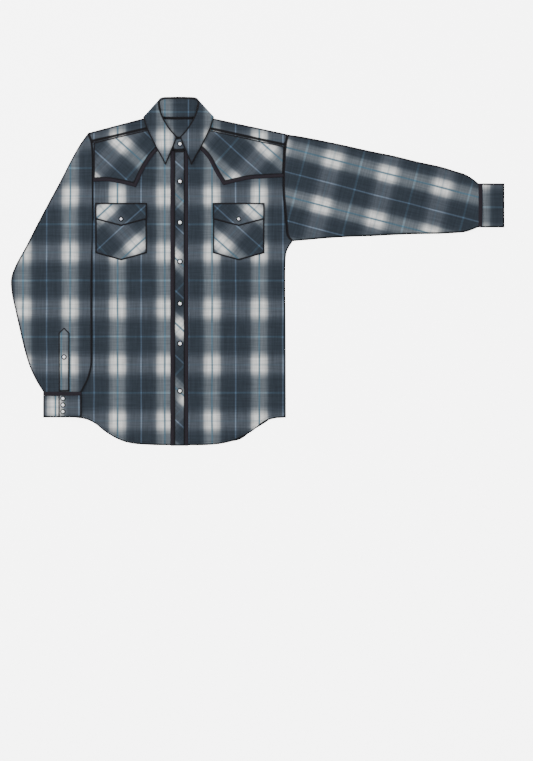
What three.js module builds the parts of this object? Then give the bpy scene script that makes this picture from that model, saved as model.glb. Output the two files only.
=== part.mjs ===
// A western snap shirt laid flat on its back, front up, in millimetres with +Z up.
// Garment coordinates start at the middle of the back neck seam: +X towards the outstretched
// sleeve, +Y to the collar, z = 0 the surface that the shirt lies on.
import * as THREE from "three";

// Driving sizes.
const BODY = { wall: 1.2, seamGap: 0.3, facetSlack: 0.05, crown: 2.1, layer: 0.3 };
const YOKE_BACK = { wall: 1.2, lift: 0.8, pipingTuck: 0.6 };
const TRIM = { yoke: 1.0, pocket: 1.0, flap: 1.1, placket: 1.2, piping: 1.5, pipingWidth: 7 };
const SLEEVE = { wall: 1.2, edgeGap: 0.6, crownGap: 2.8, foldReach: 1.5, bowRows: 3, seamStep: 0.3 };
const CUFF = { wall: 1.3, fold: 1.7, layer: 0.35, turn: 0.5, doubledShoulder: 0.72 };
const CUFF_ROWS = [0, 0.33, 0.67, 1];
const COLLAR = { wall: 1.3 };
const SNAP = { rim: 1.0, dome: 2.3, sides: 16, seats: 8 };
const SNAP_RADIUS = { stand: 6.0, placket: 6.8, pocket: 6.0, sleeve: 6.4, cuff: 6.2 };
const SNAP_PROFILE = { crest: 0.86, crestHeight: 1.35, shoulder: 0.6, shoulderHeight: 2.04 };
const OUTLINE = { left: -422.5, right: 809.5, top: 53, bottom: -819 };

const COLOURS = {
  check: { color: 0x6b7780, roughness: 0.92, metalness: 0 },
  piping: { color: 0x2b2830, roughness: 0.85, metalness: 0 },
  pearl: { color: 0xeef0f2, roughness: 0.25, metalness: 0 },
};

// The corners and turning points of the cut pieces, in plan.
const MARKS = {
  shoulderTipLeft: { x: -230, y: -37.5 },
  stripEndLeft: { x: -222, y: -58.5 },
  armLeft1: { x: -219, y: -95 },
  yokeEndLeft: { x: -219, y: -135 },
  armLeft2: { x: -219, y: -175 },
  armLeft3: { x: -219, y: -215 },
  underarmLeft: { x: -219, y: -255 },
  sideLeft1: { x: -229, y: -280 },
  sideLeft2: { x: -247.5, y: -307.5 },
  sideLeft3: { x: -259, y: -337.5 },
  sideLeft4: { x: -262.5, y: -375 },
  hemCornerLeft: { x: -263.5, y: -748.5 },
  backCornerLeft: { x: -261.5, y: -731 },
  shoulderTipRight: { x: 269, y: -41 },
  stripEndRight: { x: 264, y: -67.5 },
  armRight1: { x: 260.5, y: -105 },
  yokeEndRight: { x: 259, y: -140 },
  armRight2: { x: 259, y: -180 },
  armRight3: { x: 262, y: -220 },
  armRight4: { x: 266, y: -260 },
  armRight5: { x: 270.5, y: -296 },
  underarmRight: { x: 281.5, y: -308 },
  sideRight1: { x: 271.5, y: -323 },
  sideRight2: { x: 266, y: -336 },
  sideRight3: { x: 263.5, y: -360 },
  hemCornerRight: { x: 264.5, y: -748.5 },
  backCornerRight: { x: 263, y: -731 },
  neckPointLeft: { x: -76, y: 3 },
  neckStripLeft: { x: -67.5, y: -22.5 },
  neckLeft1: { x: -57.5, y: -45 },
  neckLeft2: { x: -42, y: -66.5 },
  neckLeft3: { x: -21.5, y: -79 },
  neckFront: { x: -2.5, y: -82.5 },
  neckRight3: { x: 17.5, y: -78.5 },
  neckRight2: { x: 35.5, y: -66.5 },
  neckRight1: { x: 51, y: -45 },
  neckStripRight: { x: 60.5, y: -23 },
  neckPointRight: { x: 69, y: 2 },
  backNeckLeft: { x: -41, y: 0 },
  backNeckRight: { x: 34, y: 0 },
  hemCentre: { x: 17.5, y: -818 },
};

// Seams are runs of marks. Every piece that meets at a seam keeps the same points along it.
const SEAMS = {
  armLeft: ["shoulderTipLeft", "stripEndLeft", "armLeft1", "yokeEndLeft", "armLeft2", "armLeft3",
    "underarmLeft"],
  armRight: ["shoulderTipRight", "stripEndRight", "armRight1", "yokeEndRight", "armRight2", "armRight3",
    "armRight4", "armRight5", "underarmRight"],
  sideLeft: ["underarmLeft", "sideLeft1", "sideLeft2", "sideLeft3", "sideLeft4", "hemCornerLeft"],
  sideRight: ["underarmRight", "sideRight1", "sideRight2", "sideRight3", "hemCornerRight"],
  neck: ["neckPointLeft", "neckStripLeft", "neckLeft1", "neckLeft2", "neckLeft3", "neckFront", "neckRight3",
    "neckRight2", "neckRight1", "neckStripRight", "neckPointRight"],
};

// Free edges, drawn as smooth curves through a few points.
const CURVES = {
  backYokeEdge: [
    { x: -219, y: -135 }, { x: -156, y: -145.5 }, { x: -86, y: -167 }, { x: 0.5, y: -201.5 },
    { x: 89, y: -167 }, { x: 184, y: -145.5 }, { x: 259, y: -140 },
  ],
  hemLeft: [
    { x: -263.5, y: -748.5 }, { x: -235, y: -753 }, { x: -212.5, y: -763.5 }, { x: -187.5, y: -783.5 },
    { x: -157.5, y: -801.5 }, { x: -127.5, y: -812 }, { x: -75, y: -817 }, { x: 17.5, y: -818 },
  ],
  hemRight: [
    { x: 17.5, y: -818 }, { x: 62.5, y: -817.5 }, { x: 105, y: -813.5 }, { x: 140, y: -804 },
    { x: 176.5, y: -785 }, { x: 212.5, y: -758.5 }, { x: 235, y: -751 }, { x: 264.5, y: -748.5 },
  ],
  hemBack: [
    { x: -261.5, y: -731 }, { x: -221, y: -734.5 }, { x: -181, y: -762 }, { x: -141, y: -789.5 },
    { x: -106, y: -806 }, { x: -55, y: -808 }, { x: 55, y: -808 }, { x: 146, y: -804.5 },
    { x: 179, y: -782 }, { x: 219, y: -757 }, { x: 240, y: -737.5 }, { x: 263, y: -731 },
  ],
  yokeTopLeft: [
    { x: -216, y: -61 }, { x: -142.5, y: -44 }, { x: -67, y: -26.5 }, { x: -59.5, y: -47 },
    { x: -46.5, y: -65 },
  ],
  yokeInnerLeft: [
    { x: -46.5, y: -65 }, { x: -61, y: -81 }, { x: -75, y: -97.5 }, { x: -90, y: -121 },
    { x: -100, y: -141 }, { x: -112.5, y: -168.5 },
  ],
  yokeLowerLeft: [
    { x: -216, y: -155 }, { x: -180, y: -154.5 }, { x: -151.5, y: -159 }, { x: -130, y: -163.5 },
    { x: -112.5, y: -168.5 },
  ],
  yokeTopRight: [
    { x: 40, y: -65 }, { x: 52.5, y: -47 }, { x: 60, y: -27.5 }, { x: 150, y: -46 },
    { x: 257, y: -70 },
  ],
  yokeInnerRight: [
    { x: 40, y: -65 }, { x: 52.5, y: -76.5 }, { x: 62.5, y: -86 }, { x: 76.5, y: -104.5 },
    { x: 89, y: -129.5 }, { x: 110, y: -163.5 },
  ],
  yokeLowerRight: [
    { x: 110, y: -163.5 }, { x: 145, y: -155 }, { x: 176, y: -149 }, { x: 207, y: -147 },
    { x: 255.5, y: -144.5 },
  ],
};

const POCKETS = [
  { side: "left", middle: -147 },
  { side: "right", middle: 146.5 },
];
const POCKET = { half: 64, top: -219, corner: -337.5, tip: -355.5 };
const FLAP = { half: 64.3, top: -213, corner: -253, tip: -270, snap: -253 };
const PLACKET = {
  left: -15, right: 12.5, top: -83, bottom: -819, snapX: 0, extraLeft: 1,
};
const STAND_SNAP_SEAT = 7.4;
const FRONT_SNAPS = [
  { on: "stand", y: -65.5 },
  { on: "placket", y: -159 },
  { on: "placket", y: -261.5 },
  { on: "placket", y: -359 },
  { on: "placket", y: -464 },
  { on: "placket", y: -564 },
  { on: "placket", y: -682 },
];

// Chords across the bent sleeve, from its outer edge to the edge that lies on the body.
const BENT_CHORDS = [
  { outer: { x: -249, y: -64 }, inner: { x: -219.5, y: -280 } },
  { outer: { x: -272.5, y: -105 }, inner: { x: -219.5, y: -302.5 } },
  { outer: { x: -296, y: -151 }, inner: { x: -219.5, y: -325 } },
  { outer: { x: -325, y: -205 }, inner: { x: -219.5, y: -347.5 } },
  { outer: { x: -357, y: -265 }, inner: { x: -219.5, y: -370 } },
  { outer: { x: -387, y: -324 }, inner: { x: -219.5, y: -392.5 } },
  { outer: { x: -412.5, y: -371 }, inner: { x: -219.5, y: -412.5 } },
  { outer: { x: -422.5, y: -401 }, inner: { x: -219.5, y: -432.5 } },
  { outer: { x: -421, y: -437.5 }, inner: { x: -219.5, y: -457.5 } },
  { outer: { x: -412.5, y: -477.5 }, inner: { x: -219.5, y: -490 } },
  { outer: { x: -401, y: -529 }, inner: { x: -219.5, y: -530 } },
  { outer: { x: -389, y: -580 }, inner: { x: -219.5, y: -575 } },
  { outer: { x: -375.5, y: -622.5 }, inner: { x: -220, y: -617.5 } },
  { outer: { x: -359, y: -657.5 }, inner: { x: -229, y: -652.5 } },
  { outer: { x: -342.5, y: -684 }, inner: { x: -245, y: -684 } },
];

// Chords across the outstretched sleeve, from its upper to its lower edge.
const STRAIGHT_CHORDS = [
  { outer: { x: 300, y: -45.5 }, inner: { x: 307.5, y: -306 } },
  { outer: { x: 350, y: -55 }, inner: { x: 352.5, y: -302 } },
  { outer: { x: 410, y: -67.5 }, inner: { x: 410, y: -298 } },
  { outer: { x: 470, y: -81 }, inner: { x: 470, y: -296 } },
  { outer: { x: 530, y: -93.5 }, inner: { x: 530, y: -293 } },
  { outer: { x: 590, y: -108.5 }, inner: { x: 590, y: -291 } },
  { outer: { x: 650, y: -121.5 }, inner: { x: 650, y: -290 } },
  { outer: { x: 687.5, y: -133 }, inner: { x: 687.5, y: -288 } },
  { outer: { x: 712.5, y: -141 }, inner: { x: 712.5, y: -285.5 } },
  { outer: { x: 733.5, y: -154 }, inner: { x: 732, y: -279 } },
  { outer: { x: 745, y: -163.5 }, inner: { x: 745, y: -273.5 } },
];

// The collar from its left point round to the middle of the back; the right half mirrors it.
// fold is where it turns over the stand, edge is its outer edge, each with the height of the cloth.
const COLLAR_MIDDLE = -3.5;
const COLLAR_STATIONS = [
  { fold: { x: -7, y: -48.5 }, foldZ: 9.6, edge: { x: -36, y: -118 }, edgeZ: 8.2 },
  { fold: { x: -17.5, y: -37 }, foldZ: 10.2, edge: { x: -45.5, y: -99 }, edgeZ: 8.2 },
  { fold: { x: -26.5, y: -26 }, foldZ: 10.8, edge: { x: -56, y: -81 }, edgeZ: 8.2 },
  { fold: { x: -34.5, y: -13.5 }, foldZ: 11.3, edge: { x: -65, y: -63.5 }, edgeZ: 8.1 },
  { fold: { x: -41, y: -2 }, foldZ: 11.6, edge: { x: -75.5, y: -43 }, edgeZ: 7.9 },
  { fold: { x: -46.5, y: 11 }, foldZ: 11.4, edge: { x: -83.5, y: -25 }, edgeZ: 7.6 },
  { fold: { x: -50.5, y: 22.5 }, foldZ: 10.9, edge: { x: -88, y: -11 }, edgeZ: 7.0 },
  { fold: { x: -52.5, y: 34 }, foldZ: 9.6, edge: { x: -91, y: -1.5 }, edgeZ: 5.8 },
  { fold: { x: -52.5, y: 43 }, foldZ: 7.0, edge: { x: -91.5, y: 2.5 }, edgeZ: 3.9 },
  { fold: { x: -48.5, y: 49.5 }, foldZ: 3.9, edge: { x: -86.5, y: 5 }, edgeZ: 1.8 },
  { fold: { x: -39, y: 52 }, foldZ: 2.2, edge: { x: -71, y: 5.5 }, edgeZ: 0.65 },
  { fold: { x: -24, y: 52.5 }, foldZ: 1.6, edge: { x: -42.5, y: 3.5 }, edgeZ: 0.65 },
  { fold: { x: -3.5, y: 53 }, foldZ: 1.4, edge: { x: -3.5, y: 2.5 }, edgeZ: 0.65 },
];
const COLLAR_ACROSS = 5;

// The stand from the middle of the front round the left side to the middle of the back.
const STAND_STATIONS = [
  { seam: { x: -2.5, y: -81 }, seamZ: 4.55, top: { x: -2.5, y: -51 }, topZ: 7.4 },
  { seam: { x: -21, y: -77.5 }, seamZ: 4.55, top: { x: -12, y: -46 }, topZ: 7.7 },
  { seam: { x: -41, y: -65 }, seamZ: 4.55, top: { x: -24.5, y: -31.5 }, topZ: 8.2 },
  { seam: { x: -56, y: -44 }, seamZ: 4.55, top: { x: -37.5, y: -13 }, topZ: 8.7 },
  { seam: { x: -66, y: -21.5 }, seamZ: 4.55, top: { x: -45.5, y: 7.5 }, topZ: 8.6 },
  { seam: { x: -72.5, y: -6 }, seamZ: 4.3, top: { x: -49.5, y: 26.5 }, topZ: 7.8 },
  { seam: { x: -74, y: 0 }, seamZ: 3.7, top: { x: -51, y: 38.5 }, topZ: 6.4 },
  { seam: { x: -69, y: 2.5 }, seamZ: 2.9, top: { x: -46.5, y: 46 }, topZ: 4.8 },
  { seam: { x: -57.5, y: 2.5 }, seamZ: 2.4, top: { x: -37, y: 49.5 }, topZ: 3.8 },
  { seam: { x: -37.5, y: 1 }, seamZ: 2.2, top: { x: -23, y: 50 }, topZ: 3.5 },
  { seam: { x: -3, y: 1 }, seamZ: 2.2, top: { x: -3.5, y: 50.5 }, topZ: 3.4 },
];
const STAND_ACROSS = 3;

// How far the stand's ends run past its first and last stations, in x, y and z.
const STAND_ENDS = {
  lap: { x: 17, y: 6, z: -1.7 },
  turn: { x: 2, y: 3, z: -1.7 },
  lead: { x: 0, y: 0, z: -0.9 },
  under: { x: -14, y: 1, z: 0 },
};

// The sleeve ends: cuff edges, the opening's two ends, and the row of snaps.
const BENT_CUFF = {
  top: -694, bottom: -748, foldLeft: -342.5, foldRight: -245.5,
  lapEdge: -303, underEnd: -275, snapX: -292,
  snaps: [-701, -717, -733.5],
};
const STRAIGHT_CUFF = {
  near: 755, far: 809.5, foldTop: -163.5, foldBottom: -274,
  lapEdge: -212.5, underEnd: -240, snapY: -224, lift: 2.7, sleeveLift: 4.1,
  snaps: [763, 781, 798.5],
};
const SLEEVE_PLACKET = { half: 13.2, length: 158.5, shoulder: 13, snapFromEnd: 85.5 };

const { lerp: mix, smoothstep } = THREE.MathUtils;

// A smooth step from 0 at from to 1 at to, in either direction.
const rise = (from, to, value) => (from < to ? smoothstep(value, from, to) : 1 - smoothstep(value, to, from));

const flat = (mark) => new THREE.Vector2(mark.x, mark.y);

// Heights of the stacked cloth, worked out from the plan.
function backTop(y) {
  return BODY.wall + YOKE_BACK.lift * rise(-335, -205, y);
}

function crown(x, y) {
  const across = rise(-212.5, -112.5, x) * rise(252.5, 145, x);
  const along = rise(-805, -717.5, y) * rise(-80, -217.5, y);
  return BODY.crown * across * along;
}

const frontUnder = (x, y) => backTop(y) + BODY.layer + crown(x, y);
const frontTop = (x, y) => frontUnder(x, y) + BODY.wall;

// The left side of the body, which the bent sleeve rests on below the underarm.
function bodyRamp(x, y) {
  const body = BODY.wall * 2 + BODY.layer * 2 + YOKE_BACK.lift + 0.1;
  return body * rise(-345, -270, x) * rise(-180, -212.5, y);
}

// One cell row for each span of a seam keeps the neighbours' corners together.
const CELLS_PER_SPAN = 1;

function seamPoints(name, from, to) {
  const marks = SEAMS[name];
  const part = marks.slice(marks.indexOf(from), marks.indexOf(to) + 1);
  const points = [flat(MARKS[part[0]])];
  for (let i = 1; i < part.length; i += 1) {
    const a = flat(MARKS[part[i - 1]]);
    const b = flat(MARKS[part[i]]);
    for (let k = 1; k <= CELLS_PER_SPAN; k += 1) {
      points.push(a.clone().lerp(b, k / CELLS_PER_SPAN));
    }
  }
  return points;
}

const reversed = (points) => [...points].reverse();
const joined = (...runs) => runs.flatMap((run, i) => (i ? run.slice(1) : run));

function straight(a, b, cells) {
  return Array.from({ length: cells + 1 }, (_, i) => flat(a).lerp(flat(b), i / cells));
}

// A smooth run through marks, in equal steps between each pair, or over its whole length.
function curved(marks, cells) {
  const knots = marks.map((m) => new THREE.Vector3(m.x, m.y, 0));
  const line = new THREE.CatmullRomCurve3(knots, false, "centripetal");
  return line.getSpacedPoints(cells).map((p) => new THREE.Vector2(p.x, p.y));
}

const MITRE = { least: 0.3, most: 2.2, strip: 0.45 };

// Moves a closed outline inwards by a distance.
function inset(loop, distance) {
  const count = loop.length;
  const turn = Math.sign(THREE.ShapeUtils.area(loop));
  return loop.map((p, i) => {
    const before = p.clone().sub(loop[(i + count - 1) % count]).normalize();
    const after = loop[(i + 1) % count].clone().sub(p).normalize();
    const normal = new THREE.Vector2(-before.y - after.y, before.x + after.x).normalize();
    const across = new THREE.Vector2(-before.y, before.x);
    const stretch = Math.min(1 / Math.max(normal.dot(across), MITRE.least), MITRE.most);
    return p.clone().addScaledVector(normal, turn * distance * stretch);
  });
}

// A grid of plan points filled in between four edges: top and bottom run left to right,
// left and right run top to bottom.
function filled(top, bottom, left, right, margin) {
  const columns = top.length - 1;
  const rows = left.length - 1;
  const loop = inset([...top.slice(0, -1), ...right.slice(0, -1), ...reversed(bottom).slice(0, -1),
    ...reversed(left).slice(0, -1)], margin);
  const t = loop.slice(0, columns + 1);
  const r = loop.slice(columns, columns + rows + 1);
  const b = reversed(loop.slice(columns + rows, columns * 2 + rows + 1));
  const l = reversed([...loop.slice(columns * 2 + rows), loop[0]]);
  const grid = [];
  for (let j = 0; j <= rows; j += 1) {
    const v = j / rows;
    grid.push(t.map((_, i) => {
      const u = i / columns;
      const blend = (axis) => mix(t[i][axis], b[i][axis], v) + mix(l[j][axis], r[j][axis], u)
        - mix(mix(t[0][axis], t[columns][axis], u), mix(b[0][axis], b[columns][axis], u), v);
      return new THREE.Vector2(blend("x"), blend("y"));
    }));
  }
  return grid;
}

function raised(grid, height) {
  return grid.map((row) => row.map((p) => new THREE.Vector3(p.x, p.y, height(p.x, p.y))));
}

// The cloth's direction at a point of a grid of middle points.
function normalAt(grid, j, i, closed) {
  const row = grid[j];
  const count = row.length;
  const before = closed ? row[(i + count - 1) % count] : row[Math.max(i - 1, 0)];
  const after = closed ? row[(i + 1) % count] : row[Math.min(i + 1, count - 1)];
  const along = grid[Math.min(j + 1, grid.length - 1)][i].clone().sub(grid[Math.max(j - 1, 0)][i]);
  return after.clone().sub(before).cross(along).normalize();
}

// A closed wall of cloth round a grid of middle points. closed joins each row's ends as a tube.
function wall(grid, thickness, closed = false) {
  const columns = grid[0].length;
  const rows = grid.length;
  const position = [];
  for (const side of [1, -1]) {
    grid.forEach((row, j) => row.forEach((p, i) => {
      const out = normalAt(grid, j, i, closed).multiplyScalar((side * thickness) / 2);
      position.push(...p.clone().add(out).toArray());
    }));
  }
  const index = [];
  const at = (layer, j, i) => layer * rows * columns + j * columns + (i % columns);
  const quad = (a, b, c, d) => index.push(a, b, c, a, c, d);
  const across = closed ? columns : columns - 1;
  for (let j = 0; j < rows - 1; j += 1) {
    for (let i = 0; i < across; i += 1) {
      quad(at(0, j, i), at(0, j, i + 1), at(0, j + 1, i + 1), at(0, j + 1, i));
      quad(at(1, j, i), at(1, j + 1, i), at(1, j + 1, i + 1), at(1, j, i + 1));
    }
  }
  for (let i = 0; i < across; i += 1) {
    quad(at(1, 0, i), at(1, 0, i + 1), at(0, 0, i + 1), at(0, 0, i));
    quad(at(0, rows - 1, i), at(0, rows - 1, i + 1), at(1, rows - 1, i + 1), at(1, rows - 1, i));
  }
  for (let j = 0; !closed && j < rows - 1; j += 1) {
    quad(at(0, j, 0), at(0, j + 1, 0), at(1, j + 1, 0), at(1, j, 0));
    quad(at(1, j, columns - 1), at(1, j + 1, columns - 1), at(0, j + 1, columns - 1), at(0, j, columns - 1));
  }
  const geometry = new THREE.BufferGeometry();
  geometry.setAttribute("position", new THREE.Float32BufferAttribute(position, 3));
  geometry.setIndex(index);
  return outward(geometry);
}

function volumeOf(geometry) {
  const p = geometry.attributes.position;
  const corners = [0, 1, 2].map(() => new THREE.Vector3());
  let total = 0;
  for (let i = 0; i < geometry.index.count; i += 3) {
    corners.forEach((c, k) => c.fromBufferAttribute(p, geometry.index.getX(i + k)));
    total += corners[0].dot(corners[1].clone().cross(corners[2])) / 6;
  }
  return total;
}

function outward(geometry) {
  if (volumeOf(geometry) < 0) {
    geometry.setIndex([...geometry.index.array].reverse());
  }
  geometry.computeVertexNormals();
  return geometry;
}

const shirt = new THREE.Group();
shirt.position.set(
  -(OUTLINE.left + OUTLINE.right) / 2,
  -(OUTLINE.top + OUTLINE.bottom) / 2,
  0,
);

function add(name, geometry, finish = "check") {
  const mesh = new THREE.Mesh(geometry, new THREE.MeshStandardMaterial(COLOURS[finish]));
  mesh.name = name;
  shirt.add(mesh);
}

const SEAM_INSET = BODY.seamGap / 2 + BODY.facetSlack;

function panel(name, edges, thickness, under) {
  const grid = filled(edges.top, edges.bottom, edges.left, edges.right, SEAM_INSET);
  add(name, wall(raised(grid, (x, y) => under(x, y) + thickness / 2), thickness));
}

function addBack() {
  const left = joined(seamPoints("armLeft", "yokeEndLeft", "underarmLeft"),
    seamPoints("sideLeft", "underarmLeft", "sideLeft4"),
    straight(MARKS.sideLeft4, MARKS.backCornerLeft, 5));
  const upperRight = joined(seamPoints("armRight", "yokeEndRight", "underarmRight"),
    seamPoints("sideRight", "underarmRight", "sideRight3"));
  const rest = left.length - upperRight.length;
  const right = joined(upperRight, straight(MARKS.sideRight3, MARKS.backCornerRight, rest));
  const bottom = curved(CURVES.hemBack, 16);
  panel("back_panel", { top: yokeEdge(), bottom, left, right }, BODY.wall, () => 0);
}

// The pointed lower edge of the back yoke, with a corner at its point.
function yokeEdge() {
  const marks = CURVES.backYokeEdge;
  const middle = (marks.length - 1) / 2;
  return joined(curved(marks.slice(0, middle + 1), 8), curved(marks.slice(middle), 8));
}

function addBackYoke() {
  const top = joined(
    straight(MARKS.shoulderTipLeft, MARKS.neckPointLeft, 5),
    straight(MARKS.neckPointLeft, MARKS.backNeckLeft, 2),
    straight(MARKS.backNeckLeft, MARKS.backNeckRight, 2),
    straight(MARKS.backNeckRight, MARKS.neckPointRight, 2),
    straight(MARKS.neckPointRight, MARKS.shoulderTipRight, 5),
  );
  const left = seamPoints("armLeft", "shoulderTipLeft", "yokeEndLeft");
  const right = seamPoints("armRight", "shoulderTipRight", "yokeEndRight");
  panel("back_yoke", { top, bottom: yokeEdge(), left, right }, YOKE_BACK.wall, () => YOKE_BACK.lift);
  // The piping lies under the yoke's edge, on the outside of the shirt's back.
  const tuck = new THREE.Vector2(0, TRIM.pipingWidth / 2 + YOKE_BACK.pipingTuck);
  const edge = yokeEdge().slice(1, -1);
  const band = strip(edge.map((p) => p.clone().add(tuck)), TRIM.pipingWidth);
  const thin = YOKE_BACK.lift - BODY.layer;
  add("back_yoke_piping", wall(raised(band, () => thin / 2), thin), "piping");
}

// A narrow band that follows a path, with its corners mitred.
function strip(path, width, across = 2) {
  return path.map((p, i) => {
    const before = p.clone().sub(path[Math.max(i - 1, 0)]);
    const after = path[Math.min(i + 1, path.length - 1)].clone().sub(p);
    const a = (before.lengthSq() ? before : after).clone().normalize();
    const b = (after.lengthSq() ? after : before).clone().normalize();
    const normal = new THREE.Vector2(-a.y - b.y, a.x + b.x).normalize();
    const share = Math.abs(normal.dot(new THREE.Vector2(-a.y, a.x)));
    const stretch = Math.min(1 / Math.max(share, MITRE.strip), MITRE.most);
    return Array.from({ length: across + 1 }, (_, k) =>
      p.clone().addScaledVector(normal, width * stretch * (k / across - 0.5)));
  });
}

function addFronts() {
  const armLeft = seamPoints("armLeft", "stripEndLeft", "underarmLeft");
  const sideLeft = seamPoints("sideLeft", "underarmLeft", "sideLeft4");
  const left = joined(armLeft, sideLeft, straight(MARKS.sideLeft4, MARKS.hemCornerLeft, 4));
  const armRight = seamPoints("armRight", "stripEndRight", "underarmRight");
  const sideRight = seamPoints("sideRight", "underarmRight", "sideRight3");
  const right = joined(armRight, sideRight, straight(MARKS.sideRight3, MARKS.hemCornerRight, 4));
  const neckLeft = joined(straight(MARKS.stripEndLeft, MARKS.neckStripLeft, 4),
    seamPoints("neck", "neckStripLeft", "neckRight3"));
  const neckRight = joined(seamPoints("neck", "neckRight3", "neckStripRight"),
    straight(MARKS.neckStripRight, MARKS.stripEndRight, 5));
  panel("front_left", {
    top: neckLeft, bottom: curved(CURVES.hemLeft, neckLeft.length - 1), left,
    right: straight(MARKS.neckRight3, MARKS.hemCentre, left.length - 1),
  }, BODY.wall, frontUnder);
  panel("front_right", {
    top: neckRight, bottom: curved(CURVES.hemRight, neckRight.length - 1),
    left: straight(MARKS.neckRight3, MARKS.hemCentre, right.length - 1), right,
  }, BODY.wall, frontUnder);
  panel("shoulder_strip_left", {
    top: straight(MARKS.shoulderTipLeft, MARKS.neckPointLeft, 4),
    bottom: straight(MARKS.stripEndLeft, MARKS.neckStripLeft, 4),
    left: seamPoints("armLeft", "shoulderTipLeft", "stripEndLeft"),
    right: seamPoints("neck", "neckPointLeft", "neckStripLeft"),
  }, BODY.wall, frontUnder);
  panel("shoulder_strip_right", {
    top: straight(MARKS.neckPointRight, MARKS.shoulderTipRight, 5),
    bottom: straight(MARKS.neckStripRight, MARKS.stripEndRight, 5),
    left: reversed(seamPoints("neck", "neckStripRight", "neckPointRight")),
    right: seamPoints("armRight", "shoulderTipRight", "stripEndRight"),
  }, BODY.wall, frontUnder);
}

const onFront = (gap) => (x, y) => frontTop(x, y) + gap;

const YOKE_INSET = BODY.seamGap + 2 * BODY.facetSlack;
const YOKE_SEAM = 0.7;

// A run that goes on past its last point.
function extended(run, by) {
  const [before, last] = run.slice(-2);
  return [...run.slice(0, -1), last.clone().add(last.clone().sub(before).setLength(by))];
}

// Cloth laid on the fronts, with piping sewn along its free edges. Its top and arm edges
// are sewn into seams, so they reach further than the marks before the whole is drawn in.
function addFrontYokes() {
  const lift = onFront(BODY.layer);
  const cells = 6;
  const margin = TRIM.pipingWidth / 2 + YOKE_INSET;
  const reach = margin - YOKE_SEAM;
  const yokes = [
    { side: "left", top: CURVES.yokeTopLeft, inner: CURVES.yokeInnerLeft, lower: CURVES.yokeLowerLeft },
    { side: "right", top: CURVES.yokeTopRight, inner: CURVES.yokeInnerRight, lower: CURVES.yokeLowerRight },
  ];
  for (const { side, top, inner, lower } of yokes) {
    const isLeft = side === "left";
    const shoulder = flat(isLeft ? top[0] : top[4]);
    const along = flat(top[2]).sub(shoulder).normalize();
    const up = new THREE.Vector2(-along.y, along.x).multiplyScalar(isLeft ? reach : -reach);
    const crest = flat(top[2]).add(up);
    const tip = shoulder.add(up).addScaledVector(along, -reach);
    const strap = straight(tip, crest, 4);
    const neck = curved(isLeft ? [crest, ...top.slice(3)] : [...top.slice(0, 2), crest], 2);
    const topEdge = isLeft ? joined(strap, neck) : joined(neck, reversed(strap));
    const bottomEdge = curved(lower, cells);
    const innerEdge = curved(inner, cells);
    const wide = isLeft ? reversed(extended(reversed(bottomEdge), reach)) : extended(bottomEdge, reach);
    const armEdge = straight(tip, wide.at(isLeft ? 0 : -1), cells);
    const [left, right] = isLeft ? [armEdge, innerEdge] : [innerEdge, armEdge];
    const grid = filled(topEdge, wide, left, right, margin);
    add(`front_yoke_${side}`, wall(raised(grid, (x, y) => lift(x, y) + TRIM.yoke / 2), TRIM.yoke));
    const path = isLeft ? joined(bottomEdge, reversed(innerEdge)) : joined(innerEdge, bottomEdge);
    const band = strip(path, TRIM.pipingWidth);
    const height = (x, y) => lift(x, y) + TRIM.piping / 2;
    add(`front_yoke_piping_${side}`, wall(raised(band, height), TRIM.piping), "piping");
  }
}

function pointedFlap(middle, half, top, corner, tip, columns, rows) {
  const at = (x, y) => ({ x, y });
  const bottom = joined(straight(at(middle - half, corner), at(middle, tip), columns / 2),
    straight(at(middle, tip), at(middle + half, corner), columns / 2));
  return filled(straight(at(middle - half, top), at(middle + half, top), columns), bottom,
    straight(at(middle - half, top), at(middle - half, corner), rows),
    straight(at(middle + half, top), at(middle + half, corner), rows), 0);
}

function addPockets() {
  const onPocket = BODY.layer * 2 + TRIM.pocket;
  for (const { side, middle } of POCKETS) {
    const pocket = pointedFlap(middle, POCKET.half, POCKET.top, POCKET.corner, POCKET.tip, 6, 6);
    add(`pocket_${side}`, wall(raised(pocket, onFront(BODY.layer + TRIM.pocket / 2)), TRIM.pocket));
    const flap = pointedFlap(middle, FLAP.half, FLAP.top, FLAP.corner, FLAP.tip, 6, 3);
    add(`pocket_flap_${side}`, wall(raised(flap, onFront(onPocket + TRIM.flap / 2)), TRIM.flap));
    addSnap(`snap_pocket_${side}`, middle, FLAP.snap, onFront(onPocket + TRIM.flap), SNAP_RADIUS.pocket);
  }
}

function addPlacket() {
  const { left, right, top, bottom } = PLACKET;
  const across = 2;
  const rows = 16;
  const width = TRIM.pipingWidth;
  const band = (from, to, thickness) => {
    const grid = filled(straight({ x: from, y: top }, { x: to, y: top }, across),
      straight({ x: from, y: bottom }, { x: to, y: bottom }, across),
      straight({ x: from, y: top }, { x: from, y: bottom }, rows),
      straight({ x: to, y: top }, { x: to, y: bottom }, rows), 0);
    return wall(raised(grid, onFront(BODY.layer + thickness / 2)), thickness);
  };
  const [a, b] = [left - BODY.seamGap, right + BODY.seamGap];
  add("placket", band(left, right, TRIM.placket));
  add("placket_piping_left", band(a - width - PLACKET.extraLeft, a, TRIM.piping), "piping");
  add("placket_piping_right", band(b, b + width, TRIM.piping), "piping");
}

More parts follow.
